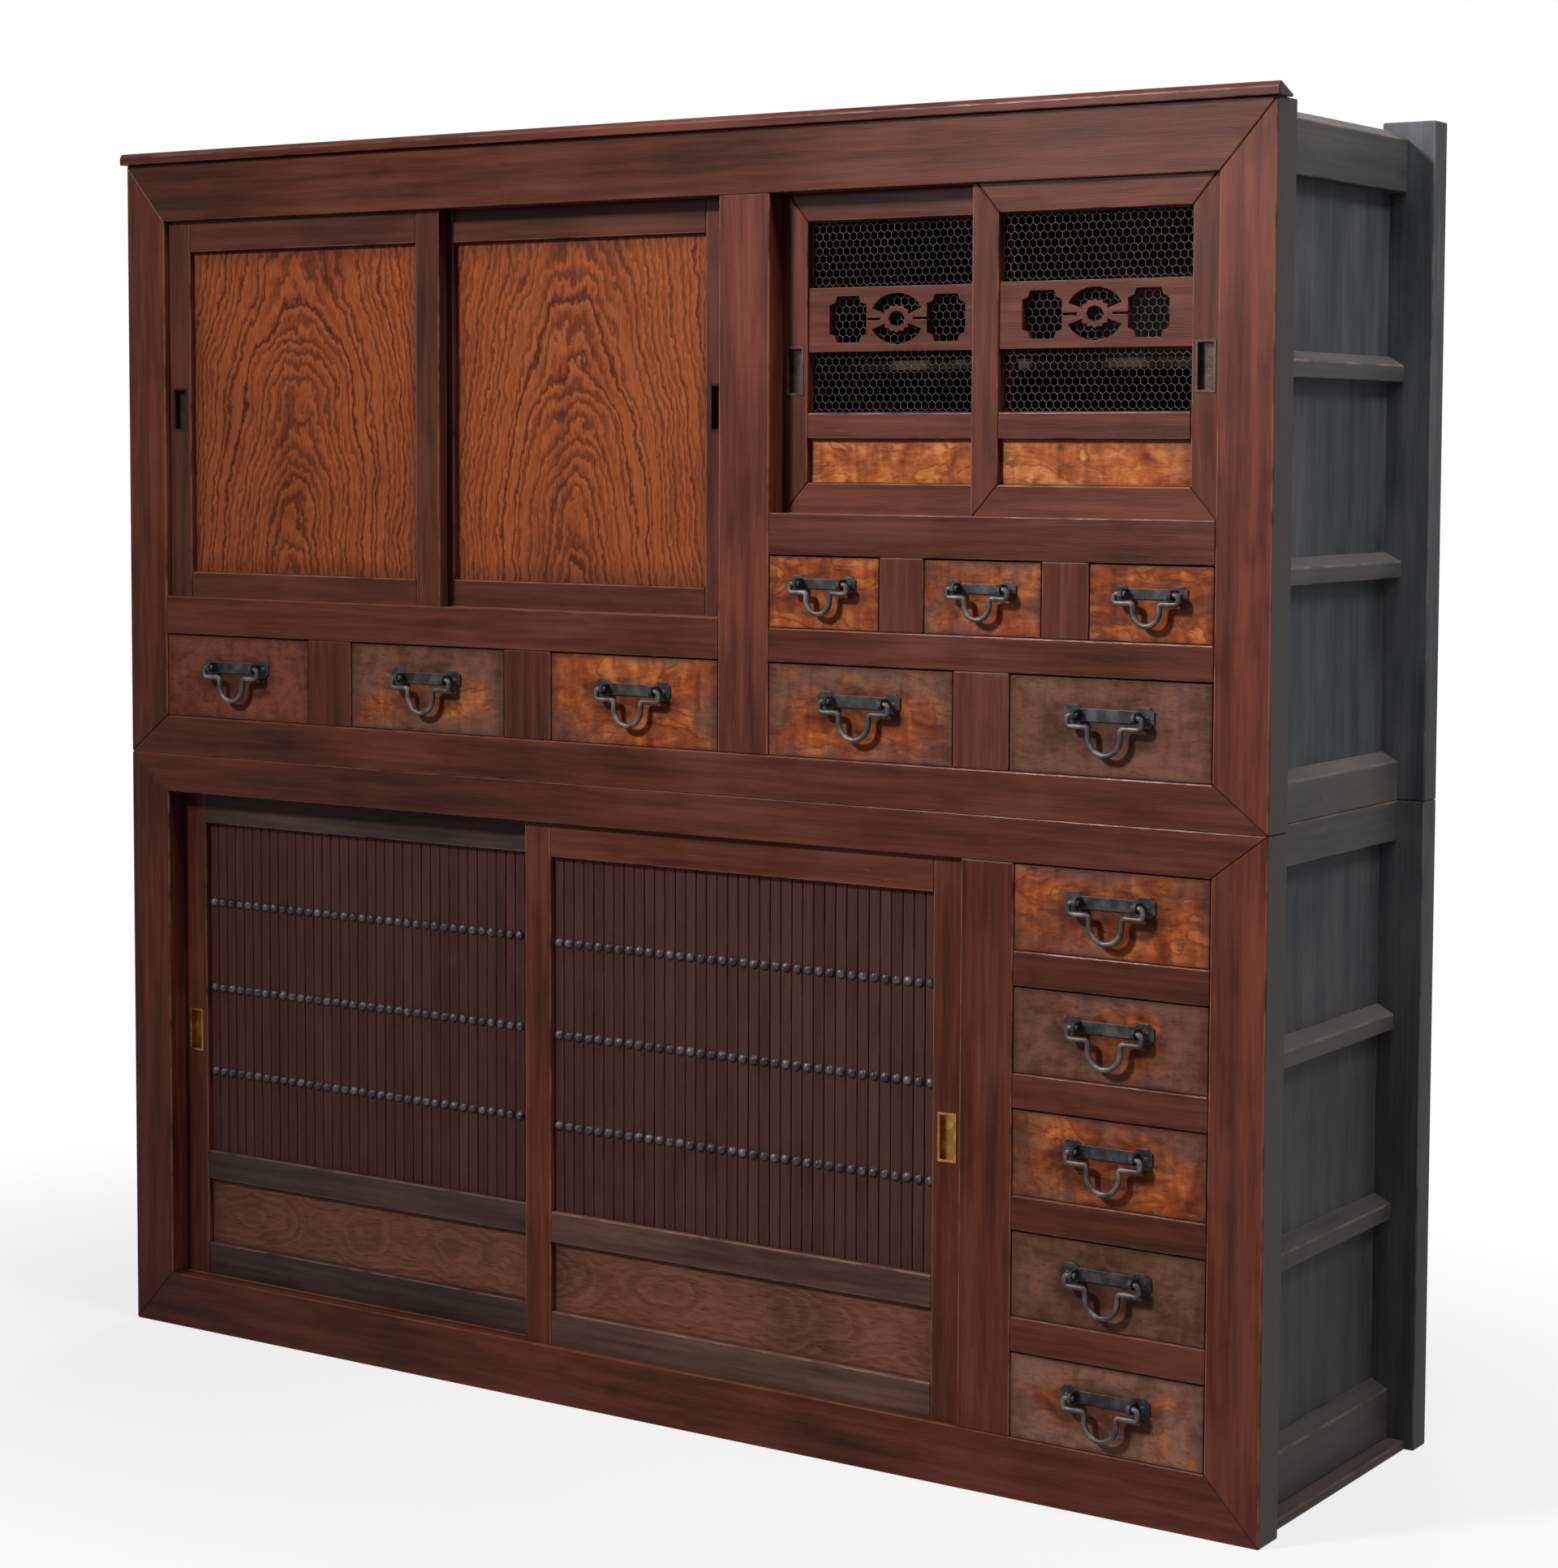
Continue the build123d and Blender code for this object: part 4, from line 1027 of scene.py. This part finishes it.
@dataclass
class SlidingDoors:
    """The six sliding doors with their infills, nets, studs and pulls."""

    dresser: Dresser
    ease: float = 0.0018
    fine_ease: float = 0.0006
    stud_radius: float = 0.0066
    stud_rise: float = 0.0048
    mesh_pitch: float = 0.0098
    mesh_stretch: float = 1.05
    wire: float = 0.0016
    slat_limit: float = 0.02
    net_seed: float = 0.5
    stud_seed: float = 0.3

    def build(self) -> None:
        """Dress the panel, mesh and slatted doors."""
        for side in ("left", "right"):
            self.panel_door(f"panel_door_{side}")
            self.mesh_door(f"mesh_door_{side}")
            self.slat_door(f"slat_door_{side}")

    def panel_door(self, door: str) -> None:
        """Dress a door with one figured panel.

        Args:
            door: The door's name.
        """
        self.dresser.copy(f"{door}_frame", PANEL_FRAME, Slot.DOOR, self.ease)
        self.dresser.copy(f"{door}_panel", KEYAKI, Slot.KEYAKI, self.fine_ease)
        self.dresser.copy(f"{door}_pull", PULL_IRON, Slot.IRON, self.fine_ease / 2)

    def mesh_door(self, door: str) -> None:
        """Dress a door with netting behind a fret board.

        Args:
            door: The door's name.
        """
        boards = f"{door}_boards"
        lowest = min(board.low.z for board in self.dresser.boards(boards))
        self.dresser.copy(f"{door}_frame", DOOR_LACQUER, Slot.DOOR, self.ease)
        self.dresser.copy(
            boards, DOOR_LACQUER, Slot.DOOR, self.fine_ease, f"{door}_fret_board",
            lambda board: board.low.z > lowest + self.ease)
        self.dresser.copy(
            boards, AMBER, Slot.BURL, self.fine_ease, f"{door}_base_panel",
            lambda board: board.low.z < lowest + self.ease)
        self.dresser.copy(f"{door}_pull", DARK_BRONZE, Slot.IRON, self.fine_ease / 2)
        self.netting(door)

    def netting(self, door: str) -> None:
        """Weave the hexagonal netting of a mesh door.

        Args:
            door: The door's name.
        """
        node = f"{door}_net"
        low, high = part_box(node)
        middle = (low + high) / 2
        mesh = bmesh.new()
        step = self.mesh_pitch * math.sqrt(3) / 2 * self.mesh_stretch
        columns = math.ceil((high.x - low.x) / self.mesh_pitch) + 1
        rows = math.ceil((high.z - low.z) / step) + 1
        corner = self.mesh_pitch / math.sqrt(3)
        cell = bmesh.ops.create_circle(mesh, cap_ends=True, segments=6, radius=corner)["verts"]
        bmesh.ops.rotate(mesh, verts=cell, matrix=FACE_FRONT)
        bmesh.ops.scale(mesh, verts=cell, vec=(1, 1, self.mesh_stretch))
        first = distinct(geom for vert in cell for geom in (vert, *vert.link_edges, *vert.link_faces))
        for row in range(rows):
            shift = self.mesh_pitch / 2 * (row % 2)
            for column in range(columns):
                copy = bmesh.ops.duplicate(mesh, geom=first)["geom"]
                verts = [geom for geom in copy if isinstance(geom, bmesh.types.BMVert)]
                place = Vector((low.x + column * self.mesh_pitch - shift, middle.y, low.z + row * step))
                bmesh.ops.translate(mesh, verts=verts, vec=place)
        bmesh.ops.delete(mesh, geom=cell, context="VERTS")
        bmesh.ops.remove_doubles(mesh, verts=mesh.verts, dist=LOOSE_WELD)
        inset = self.wire / 2
        for point, out in (
            ((low.x + inset, 0, 0), (-1, 0, 0)), ((high.x - inset, 0, 0), (1, 0, 0)),
            ((0, 0, low.z + inset), (0, 0, -1)), ((0, 0, high.z - inset), (0, 0, 1)),
        ):
            geom = [*mesh.verts, *mesh.edges, *mesh.faces]
            bmesh.ops.bisect_plane(
                mesh, geom=geom, dist=WELD, plane_co=point, plane_no=out, clear_outer=True)
        bmesh.ops.wireframe(
            mesh, faces=mesh.faces, thickness=self.wire / 2, offset=0.0, use_replace=True, use_boundary=True,
            use_even_offset=True)
        bmesh.ops.recalc_face_normals(mesh, faces=mesh.faces)
        mark_seed(mesh, self.net_seed)
        body = self.dresser.body_of(node)
        self.dresser.publish(mesh, f"{door}_netting", body, [node], Slot.WIRE, WIRE, True)

    def slat_door(self, door: str) -> None:
        """Dress a door of slats, with a row of studs along each crossbar.

        Args:
            door: The door's name.
        """
        node = f"{door}_infill"
        boards = self.dresser.boards(node)
        lowest = min(board.low.z for board in boards)
        head = max(board.high.z for board in boards)
        self.dresser.copy(
            f"{door}_frame", DOOR_LACQUER, Slot.DOOR, self.ease, f"{door}_stiles",
            lambda board: board.size.z > board.size.x)
        self.dresser.copy(
            f"{door}_frame", SLAT_TOP_RAILS[door], Slot.DOOR, self.ease, f"{door}_top_rail",
            lambda board: board.size.z < board.size.x and board.high.z > head)
        self.dresser.copy(
            f"{door}_frame", SLAT_RAILS[door], Slot.DOOR, self.ease, f"{door}_low_rails",
            lambda board: board.size.z < board.size.x and board.high.z < head)
        self.dresser.copy(
            node, SLAT_WOOD, Slot.SLAT, self.fine_ease, f"{door}_slats",
            lambda board: board.low.z > lowest + self.ease)
        self.dresser.copy(
            node, BASE_PANEL, Slot.SLAT, self.fine_ease, f"{door}_base_panel",
            lambda board: board.low.z < lowest + self.ease)
        self.dresser.copy(f"{door}_pull", BRASS, Slot.BRASS, self.fine_ease / 2)
        slats = [board for board in boards if board.size.x < self.slat_limit]
        wide = [board for board in boards if board.size.x > self.slat_limit]
        bars = [board for board in wide if board.low.z > lowest + self.ease]
        mesh = bmesh.new()
        for bar in bars:
            for slat in slats:
                foot = Vector((slat.centre.x, slat.low.y, bar.centre.z))
                add_dome(mesh, foot, self.stud_radius, self.stud_rise)
        mark_seed(mesh, self.stud_seed)
        body = self.dresser.body_of(node)
        self.dresser.publish(mesh, f"{door}_studs", body, [], Slot.IRON, STUD, True)


@dataclass
class Rod:
    """A round bar that is drawn out and bent in the upright plane across the front."""

    mesh: bmesh.types.BMesh
    place: Vector
    heading: Vector
    radius: float
    sides: int = 12
    end: list[Any] = field(default_factory=list)

    def start(self) -> None:
        """Lay the first disc across the heading."""
        made = bmesh.ops.create_circle(
            self.mesh, cap_ends=True, segments=self.sides, radius=self.radius)["verts"]
        turn = Vector((0, 0, 1)).rotation_difference(self.heading).to_matrix()
        bmesh.ops.rotate(self.mesh, verts=made, matrix=turn)
        bmesh.ops.translate(self.mesh, verts=made, vec=self.place)
        self.hold(distinct(face for vert in made for face in vert.link_faces))

    def hold(self, faces: Iterable[bmesh.types.BMFace]) -> None:
        """Keep the end's faces and their edges, so that drawing the bar out leaves no wall inside."""
        kept = list(faces)
        self.end = kept + distinct(side for face in kept for side in face.edges)

    def run(self, length: float) -> None:
        """Draw the bar out straight.

        Args:
            length: How far, in metres.
        """
        grown = bmesh.ops.extrude_face_region(self.mesh, geom=self.end)["geom"]
        verts = [geom for geom in grown if isinstance(geom, bmesh.types.BMVert)]
        bmesh.ops.translate(self.mesh, verts=verts, vec=self.heading * length)
        self.place = self.place + self.heading * length
        self.hold(geom for geom in grown if isinstance(geom, bmesh.types.BMFace))

    def bend(self, degrees: float, radius: float, steps: int) -> None:
        """Bend the bar on a curve.

        Args:
            degrees: The turn, positive towards the right of its heading as seen from the front.
            radius: The radius of the curve in metres.
            steps: How many short lengths make the curve.
        """
        side = Vector((self.heading.z, 0, -self.heading.x)) * math.copysign(1, degrees)
        centre = self.place + side * radius
        angle = math.radians(degrees)
        grown = bmesh.ops.spin(
            self.mesh, geom=self.end, cent=centre, axis=(0, 1, 0), angle=angle, steps=steps,
            use_duplicate=False)
        self.hold(geom for geom in grown["geom_last"] if isinstance(geom, bmesh.types.BMFace))
        turn = Matrix.Rotation(angle, 3, (0, 1, 0))
        self.place = centre + turn @ (self.place - centre)
        self.heading = turn @ self.heading


@dataclass
class Drawers:
    """The thirteen drawers with their forged drop handles."""

    dresser: Dresser
    ease: float = 0.0012
    iron_ease: float = 0.0005
    fitting_limit: float = 0.13
    rod: float = 0.0035
    eye_spacing: float = 0.078
    eye_thickness: float = 0.005
    tail: float = 0.002
    overhang: float = 0.0095
    shoulder: float = 0.013
    half_width: float = 0.021
    drop: float = 0.045
    curve: float = 0.0045
    curve_steps: int = 5
    bow_steps: int = 16
    small_share: float = 0.8
    # How dark the grime and painted shade round a small drawer's handle are.
    small_grime_and_shade: float = 0.3
    rivet_radius: float = 0.0034
    rivet_rise: float = 0.0018
    rivet_inset: float = 0.009

    def build(self) -> None:
        """Dress every drawer and forge its handle."""
        for drawer, smoke in DRAWER_SMOKE.items():
            grime_and_shade = self.small_grime_and_shade if drawer.startswith("small") else Burl.grime_and_shade
            self.box(drawer, Burl(f"burl_{drawer}", smoke, grime_and_shade, haze=DRAWER_HAZE.get(drawer, Burl.haze)))
            self.bail(drawer.replace("drawer", "bail"))

    def box(self, drawer: str, burl: Burl) -> None:
        """Dress a drawer's front, box, plate and eyes.

        Args:
            drawer: The drawer's name.
            burl: The finish of its front.
        """
        boards = self.dresser.boards(drawer)
        wood = [board for board in boards if max(board.size) > self.fitting_limit]
        face = min(board.low.y for board in wood)
        self.dresser.copy(
            drawer, burl, Slot.BURL, self.ease, f"{drawer}_front",
            lambda board: max(board.size) > self.fitting_limit and board.low.y < face + self.ease)
        self.dresser.copy(
            drawer, DRAWER_WOOD, Slot.INNER, self.ease, f"{drawer}_box",
            lambda board: max(board.size) > self.fitting_limit and board.low.y > face + self.ease)
        self.dresser.copy(
            drawer, IRON, Slot.IRON, self.iron_ease, f"{drawer}_fittings",
            lambda board: max(board.size) <= self.fitting_limit)
        fittings = [board for board in boards if max(board.size) <= self.fitting_limit]
        plate = max(fittings, key=lambda board: board.size.x)
        mesh = bmesh.new()
        for x in (plate.low.x + self.rivet_inset, plate.high.x - self.rivet_inset):
            add_dome(mesh, Vector((x, plate.low.y, plate.centre.z)), self.rivet_radius, self.rivet_rise)
        mark_seed(mesh, self.dresser.chance.random())
        self.dresser.publish(mesh, f"{drawer}_rivets", drawer, [], Slot.IRON, IRON, True)

    def bail(self, bail: str) -> None:
        """Forge a drop handle: a round rod whose tails turn in through the eyes.

        Args:
            bail: The handle's name.
        """
        share = self.small_share if bail.startswith("small") else 1.0
        hinge = next(joint for joint in self.dresser.frame["joints"] if joint["child"] == bail)
        axis = Vector(hinge["pos_m"])
        eye = self.eye_spacing / 2 * share
        start = eye - self.eye_thickness / 2 - self.tail
        outer, inner = eye + self.overhang, self.half_width * share
        shoulder, drop, curve = self.shoulder * share, self.drop * share, self.curve * share
        bow = min(inner, drop - shoulder - curve * 2)
        mesh = bmesh.new()
        rod = Rod(mesh, axis + Vector((-start, 0, 0)), Vector((-1, 0, 0)), self.rod)
        rod.start()
        legs = [
            (outer - start - curve, -90), (shoulder - curve * 2, -90), (outer - inner - curve * 2, 90),
        ]
        for length, turn in legs:
            rod.run(length)
            rod.bend(turn, curve, self.curve_steps)
        rod.run(drop - bow - shoulder - curve)
        rod.bend(-180, bow, self.bow_steps)
        rod.run(drop - bow - shoulder - curve)
        for length, turn in reversed(legs):
            rod.bend(turn, curve, self.curve_steps)
            rod.run(length)
        bmesh.ops.recalc_face_normals(mesh, faces=mesh.faces)
        mark_seed(mesh, self.dresser.chance.random())
        self.dresser.publish(mesh, f"{bail}_rod", bail, [bail], Slot.IRON, WORN_IRON, True)


@dataclass(frozen=True)
class Lamp:
    """A soft square lamp: its place, aim and side in metres, power in watts and spread in degrees."""

    name: str
    place: Place
    aim: Place
    size: float
    power: float
    spread: float
    diffuse: bool = True

    def hang(self) -> None:
        """Hang the lamp and turn it to its aim."""
        data = bpy.data.lights.new(self.name, "AREA")
        data.energy = self.power
        data.size = self.size
        data.spread = math.radians(self.spread)
        made = bpy.data.objects.new(self.name, data)
        turn = (Vector(self.aim) - Vector(self.place)).to_track_quat("-Z", "Y")
        made.matrix_world = Matrix.Translation(self.place) @ turn.to_matrix().to_4x4()
        made.visible_diffuse = self.diffuse
        bpy.context.scene.collection.objects.link(made)


LAMPS = (
    Lamp("key", (-1.7, -3.7, 3.7), (1.5, -0.2, 1.6), size=0.6, power=45.0, spread=76.0),
    Lamp("fill", (3.9, -0.7, 4.7), (0.9, 0.1, 1.9), size=1.2, power=13.0, spread=80.0),
    Lamp("top", (1.3, -0.5, 4.2), (0.9, 0.0, 0.8), size=1.0, power=10.0, spread=90.0),
    Lamp("back", (-1.6, 4.2, 3.0), (0.0, 0.2, 0.9), size=1.6, power=16.0, spread=90.0),
    Lamp("sheen", (-1.45, -4.7, 2.25), (0.9, -0.2, 1.6), size=0.8, power=5.5, spread=44.0, diffuse=False),
)


@dataclass
class Studio:
    """Camera, pale floor and soft light."""

    eye: Place = (2.4412, -3.55605, 1.2486)
    turn: float = 33.742
    tilt: float = 3.837
    roll: float = 0.214
    lens: float = 74.972
    shift: float = -0.0756
    sensor: float = 36.0
    far: float = 200.0
    floor_size: float = 60.0
    floor_stretch: float = 0.5
    floor_fade: tuple[float, float] = (0.5, 1.5)
    floor_glow: float = 0.75
    floor_grey: Colour = (0.3, 0.3, 0.3)
    floor_pale: Colour = (0.9, 0.9, 0.9)
    ambient: float = 0.03

    def build(self) -> None:
        """Set up everything that isn't the chest."""
        bpy.context.scene.view_settings.view_transform = "Standard"
        self.camera()
        self.floor()
        self.world()
        for lamp in LAMPS:
            lamp.hang()

    def camera(self) -> None:
        """Place the camera where the photograph was taken from."""
        data = bpy.data.cameras.new("camera")
        data.lens = self.lens
        data.sensor_width = self.sensor
        data.shift_y = self.shift
        data.clip_end = self.far
        made = bpy.data.objects.new("camera", data)
        made.matrix_world = (
            Matrix.Translation(self.eye) @ Matrix.Rotation(math.radians(self.turn), 4, "Z")
            @ Matrix.Rotation(math.radians(90 - self.tilt), 4, "X")
            @ Matrix.Rotation(math.radians(self.roll), 4, "Z"))
        bpy.context.scene.collection.objects.link(made)
        bpy.context.scene.camera = made

    def seen(self, shader: Shader) -> Socket:
        """Tell the rays that look at the background: camera, glossy and transmission rays.

        Args:
            shader: The tree that asks.

        Returns:
            1 for such a ray, and 0 for any other.
        """
        outputs = shader.node("ShaderNodeLightPath", {}, {}).output.node.outputs
        camera, glossy, through = (
            Socket(shader, outputs[name])
            for name in ("Is Camera Ray", "Is Glossy Ray", "Is Transmission Ray"))
        return (camera + glossy + through).fade(0.0, 1.0)

    def floor(self) -> None:
        """Lay a pale floor that keeps the chest's shadow and fades to white."""
        mesh = bmesh.new()
        bmesh.ops.create_grid(mesh, x_segments=1, y_segments=1, size=self.floor_size / 2)
        data = bpy.data.meshes.new("floor")
        mesh.to_mesh(data)
        mesh.free()
        made = bpy.data.materials.new("studio_floor")
        made.use_nodes = True
        shader = Shader(made.node_tree)
        x, y, _ = shader.axes(shader.place())
        away = (x * x * self.floor_stretch + y * y).root().fade(*self.floor_fade)
        tint = shader.mix(self.seen(shader), self.floor_grey, self.floor_pale)
        plain = shader.node("ShaderNodeBsdfDiffuse", {}, {"Color": tint})
        white = shader.node("ShaderNodeEmission", {}, {"Color": WHITE, "Strength": 1.0})
        glow = self.seen(shader) * (away * (1 - self.floor_glow) + self.floor_glow)
        both = shader.node("ShaderNodeMixShader", {}, {0: glow, 1: plain, 2: white})
        shader.node("ShaderNodeOutputMaterial", {}, {0: both})
        data.materials.append(made)
        floor = bpy.data.objects.new("floor", data)
        bpy.context.scene.collection.objects.link(floor)

    def world(self) -> None:
        """Show white behind the chest, and light it softly from all round."""
        world = bpy.data.worlds.new("studio")
        world.use_nodes = True
        bpy.context.scene.world = world
        shader = Shader(world.node_tree)
        white = shader.node("ShaderNodeBackground", {}, {"Color": WHITE, "Strength": 1.0})
        soft = shader.node("ShaderNodeBackground", {}, {"Color": WHITE, "Strength": self.ambient})
        both = shader.node("ShaderNodeMixShader", {}, {0: self.seen(shader), 1: soft, 2: white})
        shader.node("ShaderNodeOutputWorld", {}, {0: both})


def main() -> None:
    """Load the solids, dress each sub-assembly and set up the studio."""
    logging.basicConfig(level=logging.INFO, format="%(message)s")
    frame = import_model()
    dresser = Dresser(frame)
    Case(dresser).build()
    SlidingDoors(dresser).build()
    Drawers(dresser).build()
    Studio().build()


if __name__ == "__main__":
    main()
